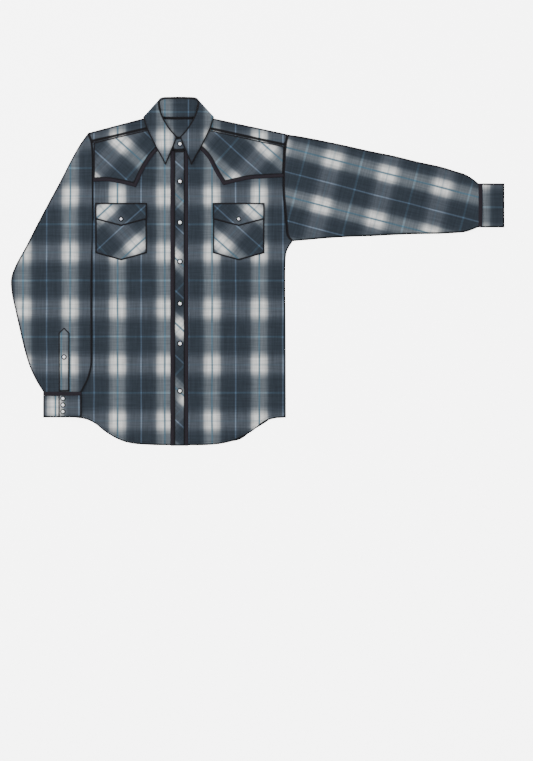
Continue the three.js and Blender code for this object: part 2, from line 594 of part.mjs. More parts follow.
// A snap's cap: a pearl dome in a low metal rim, sitting just clear of the cloth.
function addSnap(name, x, y, height, radius, down = false) {
  const { rim, dome, sides, seats } = SNAP;
  const profile = [
    { r: 0, h: 0 },
    { r: radius, h: 0 },
    { r: radius, h: rim },
    { r: radius * SNAP_PROFILE.crest, h: SNAP_PROFILE.crestHeight },
    { r: radius * SNAP_PROFILE.shoulder, h: SNAP_PROFILE.shoulderHeight },
    { r: 0, h: dome },
  ];
  const under = Array.from({ length: seats }, (_, i) => {
    const turn = (i * Math.PI * 2) / seats;
    return height(x + radius * Math.cos(turn), y + radius * Math.sin(turn));
  });
  const z = down ? Math.min(...under) : Math.max(...under);
  const cap = new THREE.LatheGeometry(profile.map(({ r, h }) => new THREE.Vector2(r, h)), sides);
  cap.rotateX(down ? -Math.PI / 2 : Math.PI / 2);
  cap.translate(x, y, down ? z - BODY.layer : z + BODY.layer);
  add(name, cap, "pearl");
}

// The collar and the stand: stations down one half, mirrored for the other.
function stationGrid(stations, from, to, across) {
  const half = stations.map((s) => [
    new THREE.Vector3(s[from].x, s[from].y, s[`${from}Z`]),
    new THREE.Vector3(s[to].x, s[to].y, s[`${to}Z`]),
  ]);
  const mirrored = reversed(half).slice(1).map((pair) =>
    pair.map((p) => new THREE.Vector3(2 * COLLAR_MIDDLE - p.x, p.y, p.z)));
  return [...half, ...mirrored].map(([a, b]) =>
    Array.from({ length: across + 1 }, (_, k) => a.clone().lerp(b, k / across)));
}

function addCollar() {
  add("collar", wall(stationGrid(COLLAR_STATIONS, "fold", "edge", COLLAR_ACROSS), COLLAR.wall));
  const grid = stationGrid(STAND_STATIONS, "seam", "top", STAND_ACROSS);
  const { lap, turn, lead, under } = STAND_ENDS;
  const moved = (row, by) => row.map((p) => p.clone().add(by));
  const rows = [moved(grid[0], lap), moved(grid[0], turn), moved(grid[1], lead), ...grid.slice(2),
    moved(grid.at(-1), under)];
  add("collar_stand", wall(rows, COLLAR.wall));
}

// A flattened tube. Each chord gives the two edges of the lying sleeve; the lower wall follows the
// ground, the upper one stands off it by a small gap that grows to the middle.
function sleeveGrid(seam, chords, ground) {
  const total = seam.slice(1).reduce((sum, p, i) => sum + p.distanceTo(seam[i]), 0);
  let run = 0;
  const shares = seam.map((p, i) => {
    run += i ? p.distanceTo(seam[i - 1]) : 0;
    return run / total;
  });
  const first = seam[0];
  const last = seam[seam.length - 1];
  const bow = seam.map((p, i) => p.clone().sub(first.clone().lerp(last, shares[i])));
  const all = [{ outer: first, inner: last }, ...chords];
  return all.map(({ outer, inner }, j) => {
    const a = flat(outer);
    const b = flat(inner);
    const keep = Math.max(1 - j / SLEEVE.bowRows, 0);
    const plan = shares.map((s, i) => a.clone().lerp(b, s).addScaledVector(bow[i], keep));
    return ring(plan, shares, ground);
  });
}

function ring(plan, shares, ground) {
  const { wall: t, edgeGap, crownGap, foldReach } = SLEEVE;
  const count = plan.length;
  const inwards = plan.map((p, i) => {
    if (i > 0 && i < count - 1) return p;
    const next = plan[i ? i - 1 : 1];
    return p.clone().addScaledVector(next.clone().sub(p).normalize(), foldReach);
  });
  const fold = (i) => {
    const next = plan[i ? i - 1 : 1];
    const p = plan[i].clone().addScaledVector(next.clone().sub(plan[i]).normalize(), t / 2);
    return new THREE.Vector3(p.x, p.y, ground(p.x, p.y) + t + edgeGap / 2);
  };
  const lower = inwards.map((p) => new THREE.Vector3(p.x, p.y, ground(p.x, p.y) + t / 2));
  const upper = inwards.map((p, i) => {
    const gap = edgeGap + (crownGap - edgeGap) * 4 * shares[i] * (1 - shares[i]);
    return new THREE.Vector3(p.x, p.y, ground(p.x, p.y) + t * 1.5 + gap);
  });
  return [...lower, fold(count - 1), ...reversed(upper), fold(0)];
}

const straightLift = (x) => STRAIGHT_CUFF.sleeveLift * rise(485, 585, x);

function addSleeves() {
  const away = (seam, x) => seam.map((p) => new THREE.Vector2(p.x + x, p.y));
  const armLeft = away(seamPoints("armLeft", "shoulderTipLeft", "underarmLeft"), -SLEEVE.seamStep);
  const armRight = away(seamPoints("armRight", "shoulderTipRight", "underarmRight"), SLEEVE.seamStep);
  add("sleeve_left", wall(sleeveGrid(armLeft, BENT_CHORDS, bodyRamp), SLEEVE.wall, true));
  add("sleeve_right", wall(sleeveGrid(armRight, STRAIGHT_CHORDS, straightLift), SLEEVE.wall, true));
}

// The middle line across a cuff: from the under end round both folds to the lapping end.
// at is measured across the cuff, up is its height; the lap lies on the under end.
function cuffLine(from, to, underEnd, lapEdge, lapBelow) {
  const { wall: t, layer, fold, turn, doubledShoulder } = CUFF;
  const one = t + turn;
  const two = one + t + layer;
  const way = Math.sign(to - from);
  const a = from + way * fold;
  const b = to - way * fold;
  const line = [
    { at: underEnd, up: one },
    { at: mix(underEnd, a, 0.5), up: one },
    { at: a, up: one },
    { at: from + (way * t) / 2, up: one / 2 },
    { at: a, up: 0 },
    { at: mix(a, b, CUFF_ROWS[1]), up: 0 },
    { at: mix(a, b, CUFF_ROWS[2]), up: 0 },
    { at: b, up: 0 },
    { at: to - (way * t) / 2, up: one / 2 },
    { at: to - (way * t) / 2, up: two * doubledShoulder },
    { at: b, up: two },
    { at: mix(b, lapEdge, 0.5), up: two },
    { at: lapEdge, up: two },
  ];
  return lapBelow ? line.map(({ at, up }) => ({ at, up: two - up })) : line;
}

function addBentCuff() {
  const c = BENT_CUFF;
  const line = cuffLine(c.foldLeft, c.foldRight, c.underEnd, c.lapEdge, false);
  const rows = CUFF_ROWS.map((v) => {
    const y = mix(c.top, c.bottom, v);
    return line.map(({ at, up }) => new THREE.Vector3(at, y, bodyRamp(at, y) + CUFF.wall / 2 + up));
  });
  add("cuff_left", wall(rows, CUFF.wall));
  const top = (x, y) => bodyRamp(x, y) + CUFF.wall * 3 + CUFF.turn + CUFF.layer;
  c.snaps.forEach((y, i) => addSnap(`snap_cuff_left_${i + 1}`, c.snapX, y, top, SNAP_RADIUS.cuff));
}

function addStraightCuff() {
  const c = STRAIGHT_CUFF;
  const line = cuffLine(c.foldTop, c.foldBottom, c.underEnd, c.lapEdge, true);
  const rows = CUFF_ROWS.map((v) => {
    const x = mix(c.near, c.far, v);
    return line.map(({ at, up }) => new THREE.Vector3(x, at, c.lift + CUFF.wall / 2 + up));
  });
  add("cuff_right", wall(rows, CUFF.wall));
  const below = () => c.lift;
  c.snaps.forEach((x, i) => addSnap(`snap_cuff_right_${i + 1}`, x, c.snapY, below, SNAP_RADIUS.cuff, true));
}

// The pointed band over a sleeve's slit, on the outside of the sleeve, and its snap.
function addSleevePlackets() {
  const { half, length, shoulder, snapFromEnd } = SLEEVE_PLACKET;
  const across = 2;
  const rows = 7;
  const bands = [
    { side: "left", middle: -289, end: -683, vertical: true, down: false },
    { side: "right", middle: -224, end: 744, vertical: false, down: true },
  ];
  for (const { side, middle, end, vertical, down } of bands) {
    const back = vertical ? 1 : -1;
    const place = (offset, along) => (vertical
      ? { x: middle + offset, y: end + back * along }
      : { x: end + back * along, y: middle + offset });
    const peak = joined(straight(place(-half, length - shoulder), place(0, length), across / 2),
      straight(place(0, length), place(half, length - shoulder), across / 2));
    const grid = filled(peak, straight(place(-half, 0), place(half, 0), across),
      straight(place(-half, length - shoulder), place(-half, 0), rows),
      straight(place(half, length - shoulder), place(half, 0), rows), 0);
    const lift = BODY.layer + TRIM.flap / 2;
    const height = down
      ? (x) => straightLift(x) - lift
      : (x, y) => sleeveTop(x, y) + lift;
    add(`sleeve_placket_${side}`, wall(raised(grid, height), TRIM.flap));
    const snap = place(0, snapFromEnd);
    const outside = (x, y) => height(x, y) + (down ? -1 : 1) * (TRIM.flap / 2);
    addSnap(`snap_sleeve_${side}`, snap.x, snap.y, outside, SNAP_RADIUS.sleeve, down);
  }
}

// The outside of the bent sleeve's upper wall, near the cuff where its chords run across.
function sleeveTop(x, y) {
  const near = BENT_CHORDS.findIndex(({ outer }) => outer.y < y);
  const [a, b] = [BENT_CHORDS[near - 1], BENT_CHORDS[near]].map((c) => c ?? BENT_CHORDS.at(-1));
  const share = a === b ? 0 : (a.outer.y - y) / (a.outer.y - b.outer.y);
  const from = mix(a.outer.x, b.outer.x, share);
  const to = mix(a.inner.x, b.inner.x, share);
  const s = (x - from) / (to - from);
  const { wall: t, edgeGap, crownGap } = SLEEVE;
  return bodyRamp(x, y) + t * 2 + edgeGap + (crownGap - edgeGap) * 4 * s * (1 - s);
}

// A short flat tube between a sleeve and its cuff.
function addCuffPipings() {
  const gap = BODY.seamGap * 2;
  const tube = (a, b, ground) => {
    const shares = [0, 0.25, 0.5, 0.75, 1];
    const side = (from, to) => shares.map((s) => flat(from).lerp(flat(to), s));
    const rings = [a, b].map(([from, to]) => ring(side(from, to), shares, ground));
    return wall(rings, SLEEVE.wall, true);
  };
  const bent = (y) => [{ x: BENT_CUFF.foldLeft, y }, { x: BENT_CUFF.foldRight, y }];
  const bentEnd = BENT_CHORDS.at(-1).outer.y - gap;
  add("cuff_piping_left", tube(bent(bentEnd), bent(BENT_CUFF.top + gap), bodyRamp), "piping");
  const far = (x) => [{ x, y: STRAIGHT_CUFF.foldTop }, { x, y: STRAIGHT_CUFF.foldBottom }];
  const straightEnd = STRAIGHT_CHORDS.at(-1).outer.x + gap;
  add("cuff_piping_right", tube(far(straightEnd), far(STRAIGHT_CUFF.near - gap), straightLift), "piping");
}

function addFrontSnaps() {
  FRONT_SNAPS.forEach(({ on, y }, i) => {
    const height = on === "stand" ? () => STAND_SNAP_SEAT : onFront(BODY.layer + TRIM.placket);
    addSnap(`snap_front_${i + 1}`, PLACKET.snapX, y, height, SNAP_RADIUS[on]);
  });
}

addBack();
addBackYoke();
addFronts();
addFrontYokes();
addPockets();
addPlacket();
addCollar();
addSleeves();
addBentCuff();
addStraightCuff();
addCuffPipings();
addSleevePlackets();
addFrontSnaps();

export default shirt;
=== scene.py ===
"""A checked western snap shirt laid flat on its back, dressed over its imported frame.

Plan sizes are in millimetres of the garment: +X to the picture's right, +Y to the collar, from the
middle of the back neck seam. Meshes are written in metres in the frame.
"""

from __future__ import annotations

import logging
import math
from dataclasses import dataclass, field
from enum import Enum
from typing import Callable, Sequence

import bmesh
import bpy
import numpy as np
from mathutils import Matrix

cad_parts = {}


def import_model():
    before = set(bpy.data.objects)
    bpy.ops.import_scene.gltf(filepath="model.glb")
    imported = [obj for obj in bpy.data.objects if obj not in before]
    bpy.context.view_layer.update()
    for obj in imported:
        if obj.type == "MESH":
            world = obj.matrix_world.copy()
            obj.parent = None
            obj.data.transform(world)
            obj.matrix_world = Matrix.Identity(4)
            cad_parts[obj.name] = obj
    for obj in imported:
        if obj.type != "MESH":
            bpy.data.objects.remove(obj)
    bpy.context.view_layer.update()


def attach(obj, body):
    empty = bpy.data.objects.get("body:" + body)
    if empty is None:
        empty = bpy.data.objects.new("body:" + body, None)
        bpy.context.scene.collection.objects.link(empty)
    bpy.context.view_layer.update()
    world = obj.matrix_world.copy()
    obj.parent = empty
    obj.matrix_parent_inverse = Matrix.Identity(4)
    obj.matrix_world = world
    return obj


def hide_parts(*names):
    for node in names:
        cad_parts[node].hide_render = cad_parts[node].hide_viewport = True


log = logging.getLogger("shirt")

MM = 0.001
GARMENT_ORIGIN = np.array([-0.1935, 0.3830])
BODY = "root"

Array = np.ndarray
Socket = bpy.types.NodeSocket
Material = bpy.types.Material
Mark = tuple[float, float]
Height = Callable[[Array, Array], Array]


class Side(Enum):
    """Which side of the shirt a piece is on, as the picture shows it."""

    LEFT = "left"
    RIGHT = "right"


# Cloth sizes.
WALL = 1.2
LAYER = 0.3
SEAM_GAP = 0.2
RIM_BULGE = 0.42
# Shrinks the distance from a pressed fold, which widens the painted shade along folds.
FOLD_SHADE_SCALE = 0.8
SEAM_INSET = 2.4
HEM_INSET = 8.0
COLLAR_INSET = 5.5
YOKE_LIFT = 0.8
CROWN = 2.1
PIPING_WIDTH = 7.0
CUFF_WALL = 1.3
CUFF_SPACE = 0.5
CUFF_LAYER = 0.35
SEAT_GAP = 0.15


@dataclass(frozen=True)
class Marks:
    """The corners and turning points of the cut pieces, in plan."""

    arm_left: tuple[Mark, ...] = (
        (-230, -37.5), (-222, -58.5), (-219, -95), (-219, -135), (-219, -175),
        (-219, -215), (-219, -255),
    )
    arm_right: tuple[Mark, ...] = (
        (269, -41), (264, -67.5), (260.5, -105), (259, -140), (259, -180),
        (262, -220), (266, -260), (270.5, -296), (281.5, -308),
    )
    side_left: tuple[Mark, ...] = (
        (-219, -255), (-229, -280), (-247.5, -307.5), (-259, -337.5), (-262.5, -375),
        (-263, -555), (-263.5, -748.5),
    )
    side_right: tuple[Mark, ...] = (
        (281.5, -308), (271.5, -323), (266, -336), (263.5, -360), (264, -555),
        (264.5, -748.5),
    )
    neck: tuple[Mark, ...] = (
        (-76, 3), (-67.5, -22.5), (-57.5, -45), (-42, -66.5), (-21.5, -79), (-2.5, -82.5),
        (17.5, -78.5), (35.5, -66.5), (51, -45), (60.5, -23), (69, 2),
    )
    back_neck: tuple[Mark, ...] = ((-76, 3), (-41, 0), (34, 0), (69, 2))
    hem_centre: Mark = (17.5, -818)
    hem_left: tuple[Mark, ...] = (
        (-263.5, -748.5), (-235, -753), (-212.5, -763.5), (-187.5, -783.5), (-157.5, -801.5),
        (-127.5, -812), (-75, -817), (17.5, -818),
    )
    hem_right: tuple[Mark, ...] = (
        (17.5, -818), (62.5, -817.5), (105, -813.5), (140, -804), (176.5, -785),
        (212.5, -758.5), (235, -751), (264.5, -748.5),
    )
    hem_back: tuple[Mark, ...] = (
        (-261.5, -731), (-221, -734.5), (-181, -762), (-141, -789.5), (-106, -806),
        (-55, -808), (55, -808), (146, -804.5), (179, -782), (219, -757),
        (240, -737.5), (263, -731),
    )
    back_yoke_left: tuple[Mark, ...] = ((-219, -135), (-156, -145.5), (-86, -167), (0.5, -201.5))
    back_yoke_right: tuple[Mark, ...] = ((0.5, -201.5), (89, -167), (184, -145.5), (259, -140))


@dataclass(frozen=True)
class YokeMarks:
    """One pointed front yoke: its shoulder seam, neck, inner edge and lower edge."""

    side: Side
    shoulder: tuple[Mark, ...]
    neck: tuple[Mark, ...]
    inner: tuple[Mark, ...]
    lower: tuple[Mark, ...]


MARKS = Marks()
YOKES = (
    YokeMarks(
        side=Side.LEFT,
        shoulder=((-216, -61), (-67, -26.5)),
        neck=((-67, -26.5), (-59.5, -47), (-46.5, -65)),
        inner=((-46.5, -65), (-61, -81), (-75, -97.5), (-90, -121), (-100, -141), (-112.5, -168.5)),
        lower=((-216, -155), (-180, -154.5), (-151.5, -159), (-130, -163.5), (-112.5, -168.5)),
    ),
    YokeMarks(
        side=Side.RIGHT,
        shoulder=((60, -27.5), (261, -71)),
        neck=((40, -65), (52.5, -47), (60, -27.5)),
        inner=((40, -65), (52.5, -76.5), (62.5, -86), (76.5, -104.5), (89, -129.5), (110, -163.5)),
        lower=((110, -163.5), (145, -155), (176, -149), (207, -147), (258, -144)),
    ),
)


# Small helpers on plan points.


def rise(start: float, end: float, value: Array) -> Array:
    """A smooth step from 0 at start to 1 at end.

    Args:
        start: Where the step leaves 0.
        end: Where it reaches 1; it may be below start.
        value: Where to read it.

    Returns:
        The step's height at each value.
    """
    share = np.clip((value - start) / (end - start), 0, 1)
    return share * share * (3 - 2 * share)


def smooth_run(marks: Sequence[Mark], per_span: int = 16) -> Array:
    """A centripetal Catmull-Rom curve through marks.

    Args:
        marks: The points that it passes through.
        per_span: Steps between one mark and the next.

    Returns:
        The curve's points, one row each.
    """
    p = np.asarray(marks, float)
    if len(p) == 2:
        share = np.linspace(0, 1, per_span + 1)[:, None]
        return p[0] * (1 - share) + p[1] * share
    p = np.vstack([2 * p[0] - p[1], p, 2 * p[-1] - p[-2]])
    out = [p[1]]
    for a, b, c, d in zip(p[:-3], p[1:-2], p[2:-1], p[3:]):
        t = np.cumsum([0.0] + [math.sqrt(float(np.linalg.norm(v))) for v in (b - a, c - b, d - c)])
        s = np.linspace(t[1], t[2], per_span + 1)[1:, None]
        ab = (t[1] - s) / (t[1] - t[0]) * a + (s - t[0]) / (t[1] - t[0]) * b
        bc = (t[2] - s) / (t[2] - t[1]) * b + (s - t[1]) / (t[2] - t[1]) * c
        cd = (t[3] - s) / (t[3] - t[2]) * c + (s - t[2]) / (t[3] - t[2]) * d
        abc = (t[2] - s) / (t[2] - t[0]) * ab + (s - t[0]) / (t[2] - t[0]) * bc
        bcd = (t[3] - s) / (t[3] - t[1]) * bc + (s - t[1]) / (t[3] - t[1]) * cd
        out.extend((t[2] - s) / (t[2] - t[1]) * abc + (s - t[1]) / (t[2] - t[1]) * bcd)
    return np.array(out)


def run_length(points: Array) -> float:
    """The length of a polyline."""
    return float(np.linalg.norm(np.diff(points, axis=0), axis=1).sum())


def spaced(points: Array, cells: int) -> Array:
    """A polyline cut into equal lengths.

    Args:
        points: The polyline.
        cells: How many lengths.

    Returns:
        cells + 1 points along it.
    """
    steps = np.concatenate([[0], np.cumsum(np.linalg.norm(np.diff(points, axis=0), axis=1))])
    at = np.linspace(0, steps[-1], cells + 1)
    return np.stack([np.interp(at, steps, points[:, k]) for k in range(points.shape[1])], axis=1)


def edge_of(*runs: Sequence[Mark], cells: int) -> Array:
    """One edge made of smooth runs that meet at corners.

    Args:
        runs: The marks of each run; a run starts where the last one ended.
        cells: Cells along the whole edge, shared among the runs by their length.

    Returns:
        cells + 1 points, with a point at every corner.
    """
    smooth = [smooth_run(run) for run in runs]
    lengths = np.array([run_length(run) for run in smooth])
    stops = np.round(np.cumsum(lengths) / lengths.sum() * cells).astype(int)
    counts = np.maximum(np.diff(np.concatenate([[0], stops])), 1)
    counts[np.argmax(counts)] += cells - counts.sum()
    parts = [spaced(run, int(count)) for run, count in zip(smooth, counts)]
    return np.vstack([parts[0]] + [part[1:] for part in parts[1:]])


def inset_loop(loop: Array, distance: float) -> Array:
    """Moves a closed outline inwards.

    Args:
        loop: The outline's points, without the first repeated.
        distance: How far.

    Returns:
        The moved points.
    """
    x, y = loop.T
    turn = np.sign(np.sum(x * np.roll(y, -1) - np.roll(x, -1) * y))
    before = loop - np.roll(loop, 1, axis=0)
    after = np.roll(loop, -1, axis=0) - loop
    before /= np.maximum(np.linalg.norm(before, axis=1, keepdims=True), 1e-9)
    after /= np.maximum(np.linalg.norm(after, axis=1, keepdims=True), 1e-9)
    normal = np.stack([-before[:, 1] - after[:, 1], before[:, 0] + after[:, 0]], axis=1)
    normal /= np.maximum(np.linalg.norm(normal, axis=1, keepdims=True), 1e-9)
    across = np.stack([-before[:, 1], before[:, 0]], axis=1)
    stretch = np.clip(1 / np.maximum(np.sum(normal * across, axis=1), 0.3), 1, 2.2)
    return loop + normal * (turn * distance * stretch)[:, None]


def extended(run: Array, by: float) -> Array:
    """A run of points whose last one moves on along its last span."""
    last = run[-1] - run[-2]
    return np.vstack([run[:-1], run[-1] + last / np.linalg.norm(last) * by])


def filled(
    top: Array, bottom: Array, left: Array, right: Array, margin: float = 0.0
) -> Array:
    """Fills a four-sided outline with a grid of plan points.

    Args:
        top: The upper edge, left to right.
        bottom: The lower edge, left to right, with as many points.
        left: The left edge, top to bottom.
        right: The right edge, top to bottom, with as many points as left.
        margin: How far the outline is drawn in first.

    Returns:
        An array of rows, columns and x, y.
    """
    columns, rows = len(top) - 1, len(left) - 1
    loop = inset_loop(np.vstack([top[:-1], right[:-1], bottom[::-1][:-1], left[::-1][:-1]]), margin)
    t = loop[: columns + 1]
    r = loop[columns : columns + rows + 1]
    b = loop[columns + rows : 2 * columns + rows + 1][::-1]
    left_in = np.vstack([loop[2 * columns + rows :], loop[:1]])[::-1]
    u = np.linspace(0, 1, columns + 1)[None, :, None]
    v = np.linspace(0, 1, rows + 1)[:, None, None]
    ruled_across = left_in[:, None] * (1 - u) + r[:, None] * u
    ruled_down = t[None] * (1 - v) + b[None] * v
    corners = (t[0] * (1 - u) + t[-1] * u) * (1 - v) + (b[0] * (1 - u) + b[-1] * u) * v
    return ruled_across + ruled_down - corners


def band(path: Array, width: float, across: int = 4) -> Array:
    """A narrow band that follows a path, with its corners mitred.

    Args:
        path: The path's points.
        width: The band's width.
        across: Cells across it.

    Returns:
        An array of rows, columns and x, y.
    """
    before = np.vstack([path[1] - path[0], np.diff(path, axis=0)])
    after = np.vstack([np.diff(path, axis=0), path[-1] - path[-2]])
    before /= np.linalg.norm(before, axis=1, keepdims=True)
    after /= np.linalg.norm(after, axis=1, keepdims=True)
    normal = np.stack([-before[:, 1] - after[:, 1], before[:, 0] + after[:, 0]], axis=1)
    normal /= np.linalg.norm(normal, axis=1, keepdims=True)
    mitre = np.sum(normal * np.stack([-before[:, 1], before[:, 0]], axis=1), axis=1)
    stretch = np.minimum(1 / np.maximum(np.abs(mitre), 0.45), 2.2)
    offset = width * (np.linspace(0, 1, across + 1) - 0.5)
    return path[:, None] + normal[:, None] * (offset[None, :] * stretch[:, None])[..., None]


# How high the lying cloth is, in plan.


@dataclass(frozen=True)
class Crease:
    """One soft ridge in the lying cloth, between two points."""

    start: Mark
    end: Mark
    height: float
    width: float

    def at(self, x: Array, y: Array) -> Array:
        """The ridge's height at plan points.

        Args:
            x: Across the garment.
            y: Up the garment.

        Returns:
            Heights in millimetres, fading out at both ends.
        """
        a = np.array(self.start, float)
        d = np.array(self.end, float) - a
        length = float(np.linalg.norm(d))
        d /= length
        along = ((x - a[0]) * d[0] + (y - a[1]) * d[1]) / length
        aside = (x - a[0]) * -d[1] + (y - a[1]) * d[0]
        aside = aside + 0.16 * self.width * np.sin(along * 5.1)
        fade = np.clip(np.sin(np.clip(along, 0, 1) * math.pi), 0, 1) ** 0.8
        return self.height * fade * np.exp(-((aside / self.width) ** 2))


@dataclass(frozen=True)
class Lie:
    """The heights that the stacked cloth lies at."""

    body_creases: tuple[Crease, ...] = (
        Crease((-170, -455), (-75, -750), 0.9, 13),
        Crease((65, -330), (130, -705), 0.8, 15),
        Crease((225, -360), (140, -595), 1.0, 12),
        Crease((-130, -360), (-50, -530), 0.6, 11),
        Crease((205, -530), (180, -755), 0.8, 12),
        Crease((-75, -180), (-40, -330), 0.6, 9),
        Crease((75, -185), (45, -320), 0.6, 9),
    )

    def back_top(self, y: Array) -> Array:
        """The inside of the back, which rises where the yoke lies outside the panel."""
        return WALL + YOKE_LIFT * rise(-335.0, -205.0, y)

    def crown(self, x: Array, y: Array) -> Array:
        """How far the fronts stand off the back between their edges."""
        across = rise(-212.5, -112.5, x) * rise(252.5, 145.0, x)
        along = rise(-805.0, -717.5, y) * rise(-80.0, -217.5, y)
        soft = sum(crease.at(x, y) for crease in self.body_creases)
        return CROWN * across * along + soft * rise(-217.5, -180.0, x)

    def front_under(self, x: Array, y: Array) -> Array:
        """The underside of the fronts."""
        return self.back_top(y) + LAYER + self.crown(x, y)

    def on_front(self, gap: float) -> Height:
        """The height of something that lies on the fronts, this far above them."""
        return lambda x, y: self.front_under(x, y) + WALL + gap

    def body_ramp(self, x: Array, y: Array) -> Array:
        """What the bent sleeve lies on: the floor, rising over the body's margin."""
        body = WALL * 2 + LAYER * 2 + YOKE_LIFT + 0.1
        return body * rise(-345.0, -270.0, x) * rise(-180.0, -212.5, y)


LIE = Lie()


@dataclass(frozen=True)
class Grain:
    """How the check lies on a piece: the warp's direction and one thin line each way."""

    degrees: float
    on_warp_line: Mark
    on_weft_line: Mark

    @classmethod
    def square(cls, mark: Mark) -> Grain:
        """Straight grain with both thin lines through one mark."""
        return cls(0, mark, mark)

    def coordinates(self, plan: Array) -> Array:
        """Check coordinates of plan points.

        Args:
            plan: Plan points in millimetres, in the last axis.

        Returns:
            Metres across and along the warp, 0 on the thin lines.
        """
        turn = math.radians(self.degrees)
        across = np.array([math.cos(turn), math.sin(turn)])
        along = np.array([-math.sin(turn), math.cos(turn)])
        u = (plan[..., :2] - np.array(self.on_warp_line)) @ across
        v = (plan[..., :2] - np.array(self.on_weft_line)) @ along
        return np.stack([u, v], axis=-1) * MM


BODY_GRAIN = Grain.square((21, -266))
BACK_GRAIN = Grain.square((-8.5, -227.5))


# Meshes.


def grid_normals(mid: Array, closed: bool) -> Array:
    """Unit normals of a grid of middle points.

    Args:
        mid: Rows, columns and x, y, z.
        closed: Whether each row's ends join.

    Returns:
        One normal a point, on the side that the rows and columns turn to.
    """
    if closed:
        across = np.roll(mid, -1, axis=1) - np.roll(mid, 1, axis=1)
    else:
        across = np.gradient(mid, axis=1)
    along = np.gradient(mid, axis=0)
    normal = np.cross(across, along)
    return normal / np.maximum(np.linalg.norm(normal, axis=2, keepdims=True), 1e-12)


class Edge(Enum):
    """The four edges of a grid: where its rows or columns start and end."""

    LEFT = "left"
    RIGHT = "right"
    TOP = "top"
    BOTTOM = "bottom"


def edge_distance(mid: Array, closed: bool, folds: Sequence[int], piped: Edge | None) -> Array:
    """How far each grid point is from the piece's cut and pressed edges, in metres.

    Args:
        mid: Rows, columns and x, y, z.
        closed: Whether each row's ends join.
        folds: The columns where the cloth is pressed into a fold.
        piped: The end, top or bottom, whose cut edge piping hides.

    Returns:
        One distance a point.
    """
    down = np.linalg.norm(np.diff(mid, axis=0), axis=2)
    from_top = np.vstack([np.zeros((1, mid.shape[1])), np.cumsum(down, axis=0)])
    from_end = from_top[-1] - from_top
    near = {Edge.TOP: from_end, Edge.BOTTOM: from_top}.get(piped, np.minimum(from_top, from_end))
    ring = np.concatenate([mid, mid[:, :1]], axis=1) if closed else mid
    over = np.linalg.norm(np.diff(ring, axis=1), axis=2)
    from_left = np.hstack([np.zeros((mid.shape[0], 1)), np.cumsum(over, axis=1)])
    total = from_left[:, -1:]
    from_left = from_left[:, : mid.shape[1]]
    if not closed:
        near = np.minimum(near, np.minimum(from_left, total - from_left))
    for column in folds:
        away = np.abs(from_left - from_left[:, column : column + 1])
        if closed:
            away = np.minimum(away, total - away)
        # Pressed folds count as edges, so the check paints shade along them.
        near = np.minimum(near, away * FOLD_SHADE_SCALE)
    return near * MM


def along_edge(surface: Array, edge: Edge, inset: float, trim: float) -> Array:
    """A line that follows one edge of a surface, a little inside it.

    Args:
        surface: Rows, columns and x, y, z.
        edge: Which edge.
        inset: How far inside.
        trim: How much is left off at both ends.

    Returns:
        The line's points.
    """
    turned = {
        Edge.LEFT: surface,
        Edge.RIGHT: surface[:, ::-1],
        Edge.TOP: surface.transpose(1, 0, 2),
        Edge.BOTTOM: surface.transpose(1, 0, 2)[:, ::-1],
    }[edge]
    steps = np.linalg.norm(np.diff(turned, axis=1), axis=2)
    reach = np.hstack([np.zeros((len(turned), 1)), np.cumsum(steps, axis=1)])
    line = np.array([[np.interp(inset, far, row[:, k]) for k in range(3)] for far, row in zip(reach, turned)])
    run = np.concatenate([[0], np.cumsum(np.linalg.norm(np.diff(line, axis=0), axis=1))])
    keep = np.linspace(trim, run[-1] - trim, max(len(line), 2))
    return np.stack([np.interp(keep, run, line[:, k]) for k in range(3)], axis=1)


@dataclass
class Piece:
    """One piece of cloth: its object, the grid of middle points it was made from, and its upper face."""

    obj: bpy.types.Object
    mid: Array
    face: Array
    closed: bool

    def declare(self, held: str, *rests_on: str) -> Piece:
        """Args:
            held: How it is held; not used.
            rests_on: What it lies on; not used.

        Returns:
            The piece.
        """
        rows = np.concatenate([self.mid, self.mid[:, :1]], axis=1) if self.closed else self.mid
        width = float(np.linalg.norm(np.diff(rows, axis=1), axis=2).sum(axis=1).max()) * MM
        length = float(np.linalg.norm(np.diff(self.mid, axis=0), axis=2).sum(axis=0).max()) * MM
        area = sum(face.area for face in self.obj.data.polygons) / 2
        area = min(area, width * length)
        return self

    def settle(self, slot: str, node: str) -> Piece:
        """Parents the piece to the shirt and hides the solid that it replaces.

        Args:
            slot: A material slot's name; not used.
            node: The solid that it replaces.

        Returns:
            The piece.
        """
        settle(self.obj, slot, node)
        return self


